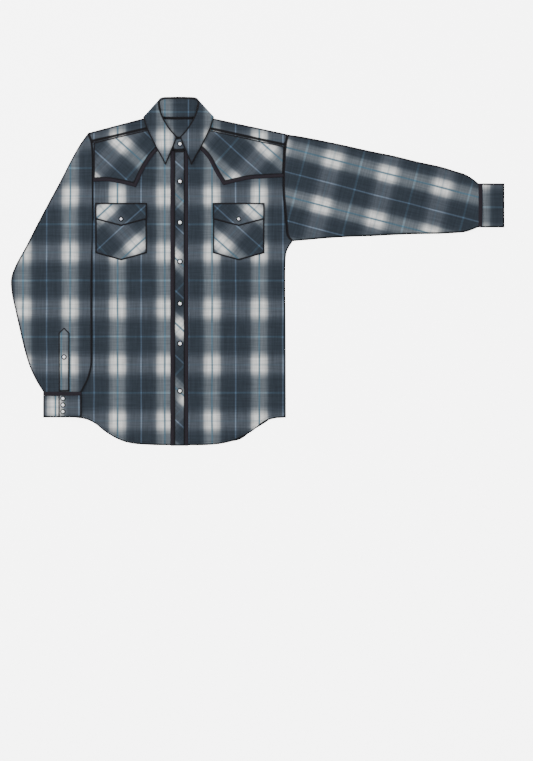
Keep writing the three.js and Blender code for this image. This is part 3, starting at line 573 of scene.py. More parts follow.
def cloth(
    name: str,
    mid: Array,
    thickness: float,
    uv: Array,
    material: Material,
    closed: bool = False,
    lining: Array | None = None,
    folds: Sequence[int] = (),
    piped: Edge | None = None,
) -> Piece:
    """A wall of cloth round a grid of middle points, with rounded cut edges.

    Args:
        name: The object's name.
        mid: Rows, columns and x, y, z, in garment millimetres.
        thickness: The wall's thickness.
        uv: Check coordinates, rows by columns by 2.
        material: The cloth's finish.
        closed: Whether each row's ends join, as on a tube.
        lining: Check coordinates of the upper face, where it is cut separately.
        folds: The columns where the cloth is pressed into a fold.
        piped: The end, top or bottom, whose cut edge piping hides.

    Returns:
        The piece, with the maps Cloth and edge.
    """
    rows, columns = mid.shape[:2]
    total = rows * columns
    normal = grid_normals(mid, closed)
    if not closed and normal[..., 2].mean() < 0:
        normal = -normal
    layers = [mid + normal * thickness / 2, mid - normal * thickness / 2]
    index = np.arange(total).reshape(rows, columns)
    here, right = (index, np.roll(index, -1, axis=1)) if closed else (index[:, :-1], index[:, 1:])
    face = np.stack([here[:-1], right[:-1], right[1:], here[1:]], axis=-1).reshape(-1, 4)
    quads = [face, face[:, ::-1] + total]
    if closed:
        loops = [(index[0], index[1]), (index[-1][::-1], index[-2][::-1])]
    else:
        loop = np.concatenate([index[0, :-1], index[:-1, -1], index[-1, :0:-1], index[:0:-1, 0]])
        loops = [(loop, None)]
    points = [layer.reshape(-1, 3) for layer in layers]
    upper = uv if lining is None else lining
    uvs = [upper.reshape(-1, 2), uv.reshape(-1, 2)]
    near = [edge_distance(mid, closed, folds, piped).reshape(-1)] * 2
    count = total * 2
    flat_mid = mid.reshape(-1, 3)
    flat_normal = normal.reshape(-1, 3)
    for loop, inner in loops:
        ring = flat_mid[loop]
        tangent = np.roll(ring, -1, axis=0) - np.roll(ring, 1, axis=0)
        out = np.cross(tangent, flat_normal[loop])
        out /= np.maximum(np.linalg.norm(out, axis=1, keepdims=True), 1e-12)
        inside = ring.mean(axis=0) if inner is None else flat_mid[inner]
        sense = -1.0 if np.sum(out * (ring - inside)) < 0 else 1.0
        points.append(ring + out * sense * thickness * RIM_BULGE)
        uvs.append(uv.reshape(-1, 2)[loop])
        near.append(near[0][loop])
        rim = np.arange(count, count + len(loop))
        count += len(loop)
        next_rim = np.roll(rim, -1)
        ahead = np.roll(loop, -1)
        quads.append(np.stack([loop, rim, next_rim, ahead], axis=-1))
        quads.append(np.stack([rim, loop + total, ahead + total, next_rim], axis=-1))
    maps = (np.vstack(uvs), np.concatenate(near))
    obj = mesh_object(name, np.vstack(points), np.vstack(quads), [material], *maps)
    return Piece(obj, mid, layers[0], closed)


def signed_volume(points: Array, quads: Array) -> float:
    """Six times the volume that quads enclose, positive where they face out."""
    a, b, c, d = (points[quads[:, k]] for k in range(4))
    return float(np.sum(a * np.cross(b, c)) + np.sum(a * np.cross(c, d)))


def mesh_object(
    name: str,
    points: Array,
    quads: Array,
    materials: Sequence[Material],
    uv: Array | None = None,
    near: Array | None = None,
    slots: Array | None = None,
) -> bpy.types.Object:
    """Makes an object from garment points.

    Args:
        name: The object's name.
        points: Points in garment millimetres.
        quads: Four point numbers a face.
        materials: Its finishes.
        uv: Check coordinates of each point.
        near: Distance of each point from a cut edge, in metres.
        slots: Which finish each face has.

    Returns:
        The object, linked to the scene.
    """
    if signed_volume(points, quads) < 0:
        quads = quads[:, ::-1]
    world = points * MM
    world[:, :2] += GARMENT_ORIGIN
    mesh = bpy.data.meshes.new(name)
    mesh.from_pydata(world.tolist(), [], quads.tolist())
    for material in materials:
        mesh.materials.append(material)
    if slots is not None:
        mesh.polygons.foreach_set("material_index", slots.astype(np.int32))
    if uv is not None:
        layer = mesh.uv_layers.new(name="Cloth")
        corner = np.empty(len(mesh.loops), np.int32)
        mesh.loops.foreach_get("vertex_index", corner)
        layer.uv.foreach_set("vector", uv[corner].astype(np.float32).ravel())
    if near is not None:
        attribute = mesh.attributes.new("edge", "FLOAT", "POINT")
        attribute.data.foreach_set("value", near.astype(np.float32))
    mesh.polygons.foreach_set("use_smooth", np.ones(len(mesh.polygons), bool))
    mesh.update()
    obj = bpy.data.objects.new(name, mesh)
    bpy.context.scene.collection.objects.link(obj)
    return obj


def with_height(plan: Array, height: Height) -> Array:
    """Plan points with a height added as z."""
    return np.concatenate([plan, height(plan[..., 0], plan[..., 1])[..., None]], axis=-1)


# Finishes.


class Nodes:
    """A short way to wire a material's nodes."""

    def __init__(self, name: str) -> None:
        """Starts an empty material with a Principled shader.

        Args:
            name: The material's name.
        """
        self.material = bpy.data.materials.new(name)
        self.material.use_nodes = True
        self.tree = self.material.node_tree
        self.tree.nodes.clear()
        self.shader = self.tree.nodes.new("ShaderNodeBsdfPrincipled")
        output = self.tree.nodes.new("ShaderNodeOutputMaterial")
        self.tree.links.new(self.shader.outputs["BSDF"], output.inputs["Surface"])

    def add(self, kind: str, **settings: object) -> bpy.types.Node:
        """A node of this kind, with these properties set."""
        node = self.tree.nodes.new(kind)
        for key, value in settings.items():
            setattr(node, key, value)
        return node

    def set(self, **levels: object) -> None:
        """Sets the shader's inputs, each named with underscores for spaces."""
        for name, level in levels.items():
            self.shader.inputs[name.replace("_", " ")].default_value = level

    def link(self, source: Socket, target: Socket) -> None:
        """Joins two sockets."""
        self.tree.links.new(source, target)

    def math(self, operation: str, *values: object) -> Socket:
        """A math node.

        Args:
            operation: The node's operation.
            values: A socket or a number for each input.

        Returns:
            Its output.
        """
        node = self.add("ShaderNodeMath", operation=operation)
        for socket, value in zip(node.inputs, values):
            if isinstance(value, Socket):
                self.link(value, socket)
            else:
                socket.default_value = value
        return node.outputs[0]

    def mix(self, factor: object, a: object, b: object, blend: str = "MIX") -> Socket:
        """Mixes two colours, each a socket or a red, green, blue triple."""
        node = self.add("ShaderNodeMix", data_type="RGBA", blend_type=blend)
        for name, value in (("Factor_Float", factor), ("A_Color", a), ("B_Color", b)):
            socket = next(s for s in node.inputs if s.identifier == name)
            if isinstance(value, Socket):
                self.link(value, socket)
            else:
                socket.default_value = (*value, 1) if isinstance(value, tuple) else value
        return next(s for s in node.outputs if s.identifier == "Result_Color")

    def ramp(self, value: Socket, stops: Sequence[tuple[float, float]]) -> Socket:
        """A curve of grey values.

        Args:
            value: What it reads, from 0 to 1.
            stops: Place and value of each stop.

        Returns:
            The value's socket.
        """
        node = self.add("ShaderNodeValToRGB")
        node.color_ramp.interpolation = "LINEAR"
        elements = node.color_ramp.elements
        while len(elements) > 1:
            elements.remove(elements[-1])
        elements[0].position, elements[0].color = stops[0][0], (stops[0][1],) * 3 + (1,)
        for place, grey in stops[1:]:
            elements.new(place).color = (grey, grey, grey, 1)
        self.link(value, node.inputs["Fac"])
        return node.outputs["Color"]

    def noise(self, vector: Socket, scale: float, detail: float = 2.0) -> Socket:
        """Smooth noise read at a vector."""
        node = self.add("ShaderNodeTexNoise")
        node.inputs["Scale"].default_value = scale
        node.inputs["Detail"].default_value = detail
        self.link(vector, node.inputs["Vector"])
        return node.outputs["Fac"]

    def bump(self, height: Socket, distance: float, strength: float) -> None:
        """Gives the shader a bump of this depth in metres."""
        node = self.add("ShaderNodeBump")
        node.inputs["Distance"].default_value = distance
        node.inputs["Strength"].default_value = strength
        self.link(height, node.inputs["Height"])
        self.link(node.outputs["Normal"], self.shader.inputs["Normal"])


def linear(red: int, green: int, blue: int) -> tuple[float, float, float]:
    """A screen colour as linear light."""
    out = []
    for value in (red, green, blue):
        share = value / 255
        out.append(share / 12.92 if share <= 0.04045 else ((share + 0.055) / 1.055) ** 2.4)
    return (out[0], out[1], out[2])


@dataclass(frozen=True)
class CheckFinish:
    """Brushed cotton in a slate, grey and white check with thin blue lines."""

    warp_repeat: float = 118.0
    weft_repeat: float = 140.25
    dark: tuple[int, int, int] = (37, 44, 52)
    light_warp: tuple[int, int, int] = (84, 90, 96)
    light_weft: tuple[int, int, int] = (62, 68, 76)
    light_both: tuple[int, int, int] = (198, 198, 196)
    stripe_blue: tuple[int, int, int] = (61, 86, 101)
    warp_line: tuple[float, float, float] = (2.3, 2.5, 2.7)
    weft_line: tuple[float, float, float] = (1.35, 1.55, 1.62)
    softness: float = 4.0
    # Colour of the dark edge line: partly a dark overlocked edge, partly painted shade at seams and folds.
    outline: tuple[int, int, int] = (18, 17, 20)
    outline_width: float = 2.9
    thread: float = 0.55
    thread_depth: float = 0.0001
    thread_relief: float = 0.35
    roughness: float = 0.88
    specular: float = 0.12
    sheen: float = 0.04
    waver: float = 0.0022
    waver_scale: float = 9.0
    slub_length: float = 16.0
    slub_width: float = 260.0
    slub_tone: float = 0.14
    warp_fade: tuple[tuple[float, float], ...] = (
        (0, 1), (10, 1), (13, 0.9), (16, 0.78), (19, 0.7), (21, 0.47), (23, 0.25), (25, 0.13),
        (28.5, 0.09), (33, 0),
    )
    weft_fade: tuple[tuple[float, float], ...] = (
        (0, 1), (14, 1), (16.5, 0.92), (19, 0.74), (24, 0.49), (29, 0.24), (32, 0.17), (34, 0.1),
        (37, 0),
    )

    def material(self, name: str) -> Material:
        """Builds the cloth.

        Args:
            name: The material's name.

        Returns:
            A material that reads the piece's Cloth map and its edge attribute.
        """
        kit = Nodes(name)
        cloth_map = kit.add("ShaderNodeUVMap", uv_map="Cloth").outputs["UV"]
        axes = kit.add("ShaderNodeSeparateXYZ")
        kit.link(cloth_map, axes.inputs["Vector"])
        wander = self.wander(kit, cloth_map)
        warp = self.distance(kit, kit.math("ADD", axes.outputs["X"], wander), self.warp_repeat)
        weft = self.distance(kit, kit.math("ADD", axes.outputs["Y"], wander), self.weft_repeat)
        colour = self.check(kit, warp, weft)
        colour = self.slubs(kit, cloth_map, colour)
        colour = self.edge_line_and_painted_shade(kit, colour)
        kit.link(colour, kit.shader.inputs["Base Color"])
        kit.set(Roughness=self.roughness, Specular_IOR_Level=self.specular, Sheen_Weight=self.sheen)
        kit.set(Sheen_Roughness=0.5)
        self.weave(kit, axes)
        return kit.material

    def wander(self, kit: Nodes, cloth_map: Socket) -> Socket:
        """A slight waver of the threads, in metres."""
        drift = kit.math("SUBTRACT", kit.noise(cloth_map, self.waver_scale, 1.0), 0.5)
        return kit.math("MULTIPLY", drift, self.waver)

    def distance(self, kit: Nodes, value: Socket, repeat: float) -> Socket:
        """How far a coordinate is from the nearest light stripe's middle, as a share of half the repeat."""
        share = kit.math("FRACT", kit.math("DIVIDE", value, repeat * MM))
        return kit.math("MULTIPLY", kit.math("ABSOLUTE", kit.math("SUBTRACT", share, 0.5)), 2.0)

    def check(self, kit: Nodes, warp: Socket, weft: Socket) -> Socket:
        """The check's colour from its two stripe distances."""
        half_warp = self.warp_repeat / 2
        half_weft = self.weft_repeat / 2
        light_warp = kit.ramp(warp, [(place / half_warp, value) for place, value in self.warp_fade])
        light_weft = kit.ramp(weft, [(place / half_weft, value) for place, value in self.weft_fade])
        blue_warp = kit.ramp(warp, [(0, 0.85), (1.1 / half_warp, 0.75), (3.0 / half_warp, 0)])
        thin_warp = kit.ramp(warp, [(0, 0), (1 - 2.5 / half_warp, 0), (1 - 1.0 / half_warp, 0.9), (1, 1)])
        thin_weft = kit.ramp(weft, [(0, 0), (1 - 3.2 / half_weft, 0), (1 - 1.8 / half_weft, 1), (1, 1)])
        faint_weft = kit.ramp(weft, [(0, 0.2), (1.2 / half_weft, 0.16), (3.2 / half_weft, 0)])
        lower = kit.mix(light_warp, self.soft(self.dark), self.soft(self.light_warp))
        upper = kit.mix(light_warp, self.soft(self.light_weft), self.soft(self.light_both))
        colour = kit.mix(light_weft, lower, upper)
        colour = kit.mix(faint_weft, colour, self.soft(self.stripe_blue))
        colour = kit.mix(blue_warp, colour, self.soft(self.stripe_blue))
        for cover, gain in ((thin_weft, self.weft_line), (thin_warp, self.warp_line)):
            colour = kit.mix(cover, colour, tuple(value ** (1 / self.softness) for value in gain), "MULTIPLY")
        gamma = kit.add("ShaderNodeGamma")
        gamma.inputs["Gamma"].default_value = self.softness
        kit.link(colour, gamma.inputs["Color"])
        return gamma.outputs["Color"]

    def soft(self, colour: tuple[int, int, int]) -> tuple[float, float, float]:
        """A colour on the scale that the stripes are blended on, where even steps look even."""
        red, green, blue = linear(*colour)
        return (red ** (1 / self.softness), green ** (1 / self.softness), blue ** (1 / self.softness))

    def slubs(self, kit: Nodes, cloth_map: Socket, colour: Socket) -> Socket:
        """Uneven yarns: faint streaks along both threads."""
        for scale in ((self.slub_width, self.slub_length, 1.0), (self.slub_length, self.slub_width, 1.0)):
            stretch = kit.add("ShaderNodeMapping")
            stretch.inputs["Scale"].default_value = scale
            kit.link(cloth_map, stretch.inputs["Vector"])
            streak = kit.noise(stretch.outputs["Vector"], 1.0, 3.0)
            tone = kit.ramp(streak, [(0.3, 1 - self.slub_tone), (0.5, 1), (0.7, 1 + self.slub_tone)])
            colour = kit.mix(1.0, colour, tone, "MULTIPLY")
        return colour

    def edge_line_and_painted_shade(self, kit: Nodes, colour: Socket) -> Socket:
        """A dark line along every cut edge, partly a dark overlocked edge and partly painted shade in the
        seam gaps; along pressed folds it is painted shade where the cloth turns under.
        """
        edge = kit.add("ShaderNodeAttribute", attribute_name="edge").outputs["Fac"]
        share = kit.math("DIVIDE", edge, self.outline_width * 2 * MM)
        cover = kit.ramp(share, [(0, 1), (0.42, 0.95), (0.75, 0)])
        return kit.mix(cover, colour, linear(*self.outline))

    def weave(self, kit: Nodes, axes: bpy.types.Node) -> None:
        """A plain weave's relief: two sets of threads that pass over each other in turn."""
        turns = math.tau / (self.thread * MM)
        over = kit.math("SINE", kit.math("MULTIPLY", axes.outputs["X"], turns))
        under = kit.math("SINE", kit.math("MULTIPLY", axes.outputs["Y"], turns))
        kit.bump(kit.math("MULTIPLY", over, under), self.thread_depth, self.thread_relief)


@dataclass(frozen=True)
class PlainFinish:
    """A finish of one colour with its own grain, such as piping, thread or a dark rim."""

    colour: tuple[int, int, int]
    roughness: float
    sheen: float = 0.0
    grain_scale: float = 900.0
    grain_depth: float = 0.0001
    mottle: float = 0.12
    specular: float = 0.5

    def material(self, name: str) -> Material:
        """Builds the finish.

        Args:
            name: The material's name.

        Returns:
            A material on Object coordinates.
        """
        kit = Nodes(name)
        place = kit.add("ShaderNodeTexCoord").outputs["Object"]
        speckle = kit.noise(place, self.grain_scale, 3.0)
        tone = kit.ramp(speckle, [(0.25, 1 - self.mottle), (0.5, 1), (0.75, 1 + self.mottle)])
        kit.link(kit.mix(1.0, linear(*self.colour), tone, "MULTIPLY"), kit.shader.inputs["Base Color"])
        kit.set(Roughness=self.roughness, Specular_IOR_Level=self.specular, Sheen_Weight=self.sheen)
        kit.bump(speckle, self.grain_depth, 0.4)
        return kit.material


@dataclass(frozen=True)
class PearlFinish:
    """White mother-of-pearl with faint cool and warm bands."""

    white: tuple[int, int, int] = (246, 246, 248)
    cool: tuple[int, int, int] = (216, 226, 236)
    warm: tuple[int, int, int] = (243, 233, 226)

    def material(self, name: str) -> Material:
        """Builds the pearl.

        Args:
            name: The material's name.

        Returns:
            A material on Object coordinates.
        """
        kit = Nodes(name)
        place = kit.add("ShaderNodeTexCoord").outputs["Object"]
        swirl = kit.noise(place, 420.0, 4.0)
        cool = kit.ramp(swirl, [(0.35, 0), (0.52, 0.7), (0.62, 0)])
        warm = kit.ramp(swirl, [(0.55, 0), (0.68, 0.6), (0.8, 0)])
        colour = kit.mix(cool, linear(*self.white), linear(*self.cool))
        kit.link(kit.mix(warm, colour, linear(*self.warm)), kit.shader.inputs["Base Color"])
        kit.set(Roughness=0.22, Coat_Weight=0.6, Coat_Roughness=0.05, Subsurface_Weight=0.08)
        kit.set(Subsurface_Scale=0.002)
        return kit.material


class Finishes:
    """Every finish on the shirt, made once."""

    def __init__(self) -> None:
        """Builds the materials."""
        self.check = CheckFinish().material("check_cotton")
        self.piping = PlainFinish((33, 30, 36), 0.85, specular=0.1).material("piping_cotton")
        self.thread = PlainFinish((20, 21, 25), 0.75, specular=0.15).material("dark_top_stitch")
        self.silk = PlainFinish((183, 185, 189), 0.42, sheen=0.2).material("pale_embroidery_thread")
        rim = PlainFinish((9, 9, 10), 0.55, specular=0.12, grain_depth=0.00003)
        self.rim = rim.material("snap_rim_metal")
        self.pearl = PearlFinish().material("snap_pearl")


def settle(obj: bpy.types.Object, slot: str, *nodes: str) -> None:
    """Parents a finished piece to the shirt, hides the solids that it stands for and logs its face count.

    Args:
        obj: The piece.
        slot: A material slot's name; not used.
        nodes: The solids that it replaces.
    """
    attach(obj, BODY)
    if nodes:
        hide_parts(*nodes)
    log.info("%s: %d faces", obj.name, len(obj.data.polygons))


@dataclass(frozen=True)
class ThreadSize:
    """One sewn thread: its half sizes, its step along the row, its turn from the row and its unevenness."""

    half_length: float
    half_width: float
    half_height: float
    pitch: float
    turn: float = 0.0
    jitter: float = 0.06


class ThreadTree:
    """A geometry-nodes tree that lays one thread at equal steps along every edge of a mesh."""

    SEED = 7
    MEASURES = ("Pitch", "Half Length", "Half Width", "Half Height", "Turn", "Jitter")

    def __init__(self) -> None:
        """Builds the tree with named inputs."""
        self.tree = bpy.data.node_groups.new("thread_rows", "GeometryNodeTree")
        face = self.tree.interface
        face.new_socket("Geometry", in_out="INPUT", socket_type="NodeSocketGeometry")
        self.keys = {
            name: face.new_socket(name, in_out="INPUT", socket_type=kind).identifier
            for name, kind in {
                **dict.fromkeys(self.MEASURES, "NodeSocketFloat"), "Seed": "NodeSocketInt",
                "Thread": "NodeSocketMaterial",
            }.items()
        }
        face.new_socket("Geometry", in_out="OUTPUT", socket_type="NodeSocketGeometry")
        self.wire()

    def node(self, kind: str, inputs: dict[str, object] | None = None, **settings: object) -> bpy.types.Node:
        """Adds a node.

        Args:
            kind: The node's type.
            inputs: A socket or a value for each named input.
            settings: The node's own properties.

        Returns:
            The node.
        """
        node = self.tree.nodes.new(kind)
        for key, value in settings.items():
            setattr(node, key, value)
        for name, value in (inputs or {}).items():
            if isinstance(value, Socket):
                self.tree.links.new(value, node.inputs[name])
            else:
                node.inputs[name].default_value = value
        return node

    def wire(self) -> None:
        """Wires the rows, the threads and the finish."""
        given = self.node("NodeGroupInput").outputs
        rows = self.node("GeometryNodeMeshToCurve", {"Mesh": given["Geometry"]})
        steps = self.node(
            "GeometryNodeResampleCurve", {"Curve": rows.outputs[0], "Length": given["Pitch"]}, mode="LENGTH")
        tangent = self.node("GeometryNodeInputTangent")
        facing = self.node(
            "FunctionNodeAlignRotationToVector", {"Vector": tangent.outputs[0]}, axis="X", pivot_axis="AUTO")
        turn = self.node("FunctionNodeAxisAngleToRotation", {"Axis": (0.0, 0.0, 1.0), "Angle": given["Turn"]})
        turned = self.node(
            "FunctionNodeRotateRotation", {"Rotation": facing.outputs[0], "Rotate By": turn.outputs[0]},
            rotation_space="LOCAL")
        low = self.node("ShaderNodeMath", {0: 1.0, 1: given["Jitter"]}, operation="SUBTRACT")
        high = self.node("ShaderNodeMath", {0: 1.0, 1: given["Jitter"]}, operation="ADD")
        uneven = self.node("FunctionNodeRandomValue", {"Seed": given["Seed"]}, data_type="FLOAT")
        sockets = [socket for socket in uneven.inputs if socket.enabled and socket.name in ("Min", "Max")]
        self.tree.links.new(low.outputs[0], sockets[0])
        self.tree.links.new(high.outputs[0], sockets[1])
        factor = next(socket for socket in uneven.outputs if socket.enabled)
        span = self.node("GeometryNodeInputNamedAttribute", {"Name": "span"}, data_type="FLOAT")
        length = self.node("ShaderNodeMath", {0: given["Half Length"], 1: factor}, operation="MULTIPLY")
        reach = self.node("ShaderNodeMath", {0: length.outputs[0], 1: span.outputs[0]}, operation="MULTIPLY")
        size = self.node(
            "ShaderNodeCombineXYZ",
            {"X": reach.outputs[0], "Y": given["Half Width"], "Z": given["Half Height"]})
        ball = self.node("GeometryNodeMeshUVSphere", {"Segments": 6, "Rings": 5, "Radius": 1.0})
        thread = self.node(
            "GeometryNodeTransform", {"Geometry": ball.outputs[0], "Rotation": (0.0, math.pi / 2, 0.0)})
        laid = self.node(
            "GeometryNodeInstanceOnPoints",
            {"Points": steps.outputs[0], "Instance": thread.outputs[0], "Rotation": turned.outputs[0],
             "Scale": size.outputs[0]},
        )
        real = self.node("GeometryNodeRealizeInstances", {"Geometry": laid.outputs[0]})
        soft = self.node("GeometryNodeSetShadeSmooth", {"Geometry": real.outputs[0]})
        dyed = self.node(
            "GeometryNodeSetMaterial", {"Geometry": soft.outputs[0], "Material": given["Thread"]})
        self.node("NodeGroupOutput", {"Geometry": dyed.outputs[0]})

    def lay(
        self,
        name: str,
        rows: Sequence[Array],
        size: ThreadSize,
        material: Material,
        spans: Sequence[Array] | None = None,
    ) -> bpy.types.Object:
        """Sews threads along rows of points.

        Args:
            name: The new object's name.
            rows: Points of each row, in garment millimetres.
            size: The thread's sizes.
            material: The thread's finish.
            spans: How long the threads are at each point, as a share of the full length.

        Returns:
            An object that holds plain mesh.
        """
        points = np.vstack(rows) * MM
        points[:, :2] += GARMENT_ORIGIN
        starts = np.cumsum([0] + [len(row) for row in rows])
        edges = [(k, k + 1) for a, b in zip(starts[:-1], starts[1:]) for k in range(a, b - 1)]
        guide = bpy.data.meshes.new(f"{name}_rows")
        guide.from_pydata(points.tolist(), edges, [])
        span = np.ones(len(points)) if spans is None else np.concatenate(spans)
        guide.attributes.new("span", "FLOAT", "POINT").data.foreach_set("value", span.astype(np.float32))
        obj = bpy.data.objects.new(name, guide)
        bpy.context.scene.collection.objects.link(obj)
        modifier = obj.modifiers.new("thread_rows", "NODES")
        modifier.node_group = self.tree
        lengths = (size.pitch, size.half_length, size.half_width, size.half_height)
        measures = (*(length * MM for length in lengths), math.radians(size.turn), size.jitter)
        values = {**dict(zip(self.MEASURES, measures)), "Seed": self.SEED, "Thread": material}
        for key, value in values.items():
            modifier[self.keys[key]] = value
        bpy.context.view_layer.update()
        graph = bpy.context.evaluated_depsgraph_get()
        made = bpy.data.meshes.new_from_object(obj.evaluated_get(graph))
        obj.modifiers.remove(modifier)
        obj.data = made
        bpy.data.meshes.remove(guide)
        return obj


@dataclass
class Sewing:
    """The rows of dark top stitching, gathered while the pieces are made."""

    finishes: Finishes
    size: ThreadSize = ThreadSize(1.3, 0.4, 0.22, 3.6)
    rows: dict[str, list[Array]] = field(default_factory=dict)
    tree: ThreadTree = field(default_factory=ThreadTree)

    def row(self, group: str, line: Array) -> None:
        """Adds a row to a group of stitching."""
        self.rows.setdefault(group, []).append(line)

    def edges(self, group: str, piece: Piece, trim: float, *edges: Edge) -> None:
        """Adds a row along each of these edges, with its ends drawn in by trim."""
        for edge in edges:
            self.row(group, along_edge(piece.face, edge, SEAM_INSET, trim))

    def build(self) -> None:
        """Sews every group."""
        for group, lines in self.rows.items():
            obj = self.tree.lay(f"{group}_top_stitching", lines, self.size, self.finishes.thread)
            settle(obj, "top_stitch")


@dataclass(frozen=True)
class Curl:
    """One end of a scroll: a spiral round a middle, or a plain end where its radius is 0."""

    u: float
    v: float
    radius: float
    angle: float
    hand: float = 1.0

    def leaving(self) -> tuple[Array, Array]:
        """Where the stem leaves the curl, and in which direction."""
        turn = math.radians(self.angle)
        out = np.array([math.cos(turn), math.sin(turn)])
        if not self.radius:
            return np.array([self.u, self.v]), out
        return np.array([self.u, self.v]) + self.radius * out, self.hand * np.array([-out[1], out[0]])

    def spiral(self, turns: float, steps: int) -> Array:
        """The spiral from its eye out to where the stem leaves."""
        if not self.radius:
            return np.empty((0, 2))
        share = np.linspace(0, 1, steps)
        radius = self.radius * (0.2 + 0.8 * share**0.8)
        turn = math.radians(self.angle) - self.hand * math.tau * turns * (1 - share)
        return np.stack([self.u + radius * np.cos(turn), self.v + radius * np.sin(turn)], axis=1)


@dataclass(frozen=True)
class Scroll:
    """A stem with a curl at each end."""

    start: Curl
    end: Curl
    swing: float = 1.2

    def points(self) -> Array:
        """The whole scroll as one smooth line."""
        a, a_way = self.start.leaving()
        b, b_way = self.end.leaving()
        reach = self.swing * float(np.linalg.norm(b - a))
        t = np.linspace(0, 1, 28)[1:-1, None]
        stem = (
            (2 * t**3 - 3 * t**2 + 1) * a + (t**3 - 2 * t**2 + t) * reach * a_way
            + (3 * t**2 - 2 * t**3) * b - (t**3 - t**2) * reach * b_way
        )
        head = self.start.spiral(1.35, 44) if self.start.radius else a[None]
        tail = self.end.spiral(1.35, 44)[::-1] if self.end.radius else b[None]
        return np.vstack([head, stem, tail])


@dataclass
class Embroidery:
    """Pale satin-stitch scrollwork across the outside of the back yoke, the same on both halves."""

    finishes: Finishes
    tree: ThreadTree
    middle: Mark = (-3.5, -120)
    height: float = 0.62
    size: ThreadSize = ThreadSize(2.3, 0.42, 0.2, 0.62, turn=68.0, jitter=0.08)
    scrolls: tuple[Scroll, ...] = (
        Scroll(Curl(9, -31, 6, 200, -1), Curl(0, -6, 0, -90), 0.9),
        Scroll(Curl(12, 2, 8, 250, 1), Curl(40, 10, 12, 330, -1), 1.2),
        Scroll(Curl(50, -6, 9, 100, 1), Curl(33, -9, 0, 150), 0.8),
        Scroll(Curl(51, 2, 0, 60), Curl(74, 35, 12, 160, -1), 0.9),
        Scroll(Curl(104, 30, 12, 250, 1), Curl(131, 31, 0, -150), 1.0),
        Scroll(Curl(133, 52, 10, 215, 1), Curl(164, 24, 0, 100), 1.1),
        Scroll(Curl(146, 18, 12, 130, -1), Curl(118, 22, 0, 40), 0.9),
        Scroll(Curl(182, 38, 9, 300, -1), Curl(152, 33, 0, -20), 1.0),
        Scroll(Curl(168, 8, 7, 40, -1), Curl(160, 30, 0, -80), 0.7),
    )

    def build(self) -> None:
        """Sews the scrolls on both halves."""
        rows, spans = [], []
        for scroll in self.scrolls:
            line = scroll.points()
            share = np.linspace(0, 1, len(line))
            taper = 0.45 + 0.55 * np.clip(np.sin(share * math.pi) * 3, 0, 1)
            for hand in (1, -1):
                plan = line * np.array([hand, 1]) + np.array(self.middle)
                rows.append(np.column_stack([plan, np.full(len(plan), self.height)]))
                spans.append(taper)
        obj = self.tree.lay("back_yoke_embroidery", rows, self.size, self.finishes.silk, spans)
        settle(obj, "embroidery")


@dataclass
class Back:
    """The back panel and its pointed yoke, which the shirt lies on."""

    finishes: Finishes
    sewing: Sewing
    yoke_grain: Grain = Grain(-47.8, (116, -3.5), (-1, -85))

    def build(self) -> None:
        """Builds both pieces and the piping between them."""
        self.panel()
        self.yoke()
        self.piping()

    def panel(self) -> None:
        """The straight-grain panel below the yoke."""
        columns, rows = 66, 84
        grid = filled(
            edge_of(MARKS.back_yoke_left, MARKS.back_yoke_right, cells=columns),
            edge_of(MARKS.hem_back, cells=columns),
            edge_of(MARKS.arm_left[3:], (*MARKS.side_left[:-1], (-261.5, -731)), cells=rows),
            edge_of(MARKS.arm_right[3:], (*MARKS.side_right[:-1], (263, -731)), cells=rows),
            SEAM_GAP,
        )
        mid = with_height(grid, lambda x, y: np.full_like(x, WALL / 2))
        piece = cloth("back_panel_cloth", mid, WALL, BACK_GRAIN.coordinates(grid), self.finishes.check)
        piece.settle("check_cloth", "back_panel").declare("laid")

    def yoke(self) -> None:
        """The bias-cut yoke, whose straight-cut lining shows inside the neck."""
        columns, rows = 72, 26
        grid = filled(
            edge_of(
                (MARKS.arm_left[0], MARKS.back_neck[0]), MARKS.back_neck,
                (MARKS.back_neck[-1], MARKS.arm_right[0]), cells=columns,
            ),
            edge_of(MARKS.back_yoke_left, MARKS.back_yoke_right, cells=columns),
            edge_of(MARKS.arm_left[:4], cells=rows),
            edge_of(MARKS.arm_right[:4], cells=rows),
            SEAM_GAP,
        )
        mid = with_height(grid, lambda x, y: np.full_like(x, YOKE_LIFT + WALL / 2))
        piece = cloth(
            "back_yoke_cloth", mid, WALL, self.yoke_grain.coordinates(grid), self.finishes.check,
            lining=BODY_GRAIN.coordinates(grid),
        )
        piece.settle("bias_check_cloth", "back_yoke").declare("laid", "back_panel_cloth")
        under = mid - np.array([0, 0, WALL / 2])
        self.sewing.row("back_yoke", along_edge(under, Edge.BOTTOM, PIPING_WIDTH + 3.0, 4.0))

    def piping(self) -> None:
        """The dark piping under the yoke's pointed edge."""
        path = edge_of(MARKS.back_yoke_left, MARKS.back_yoke_right, cells=96)[3:-3]
        thin = YOKE_LIFT - LAYER
        grid = band(path, PIPING_WIDTH) + np.array([0, PIPING_WIDTH / 2 + 0.6])
        mid = with_height(grid, lambda x, y: np.full_like(x, thin / 2))
        piece = cloth("back_yoke_piping_cord", mid, thin, grid * MM, self.finishes.piping)
        piece.settle("piping", "back_yoke_piping")


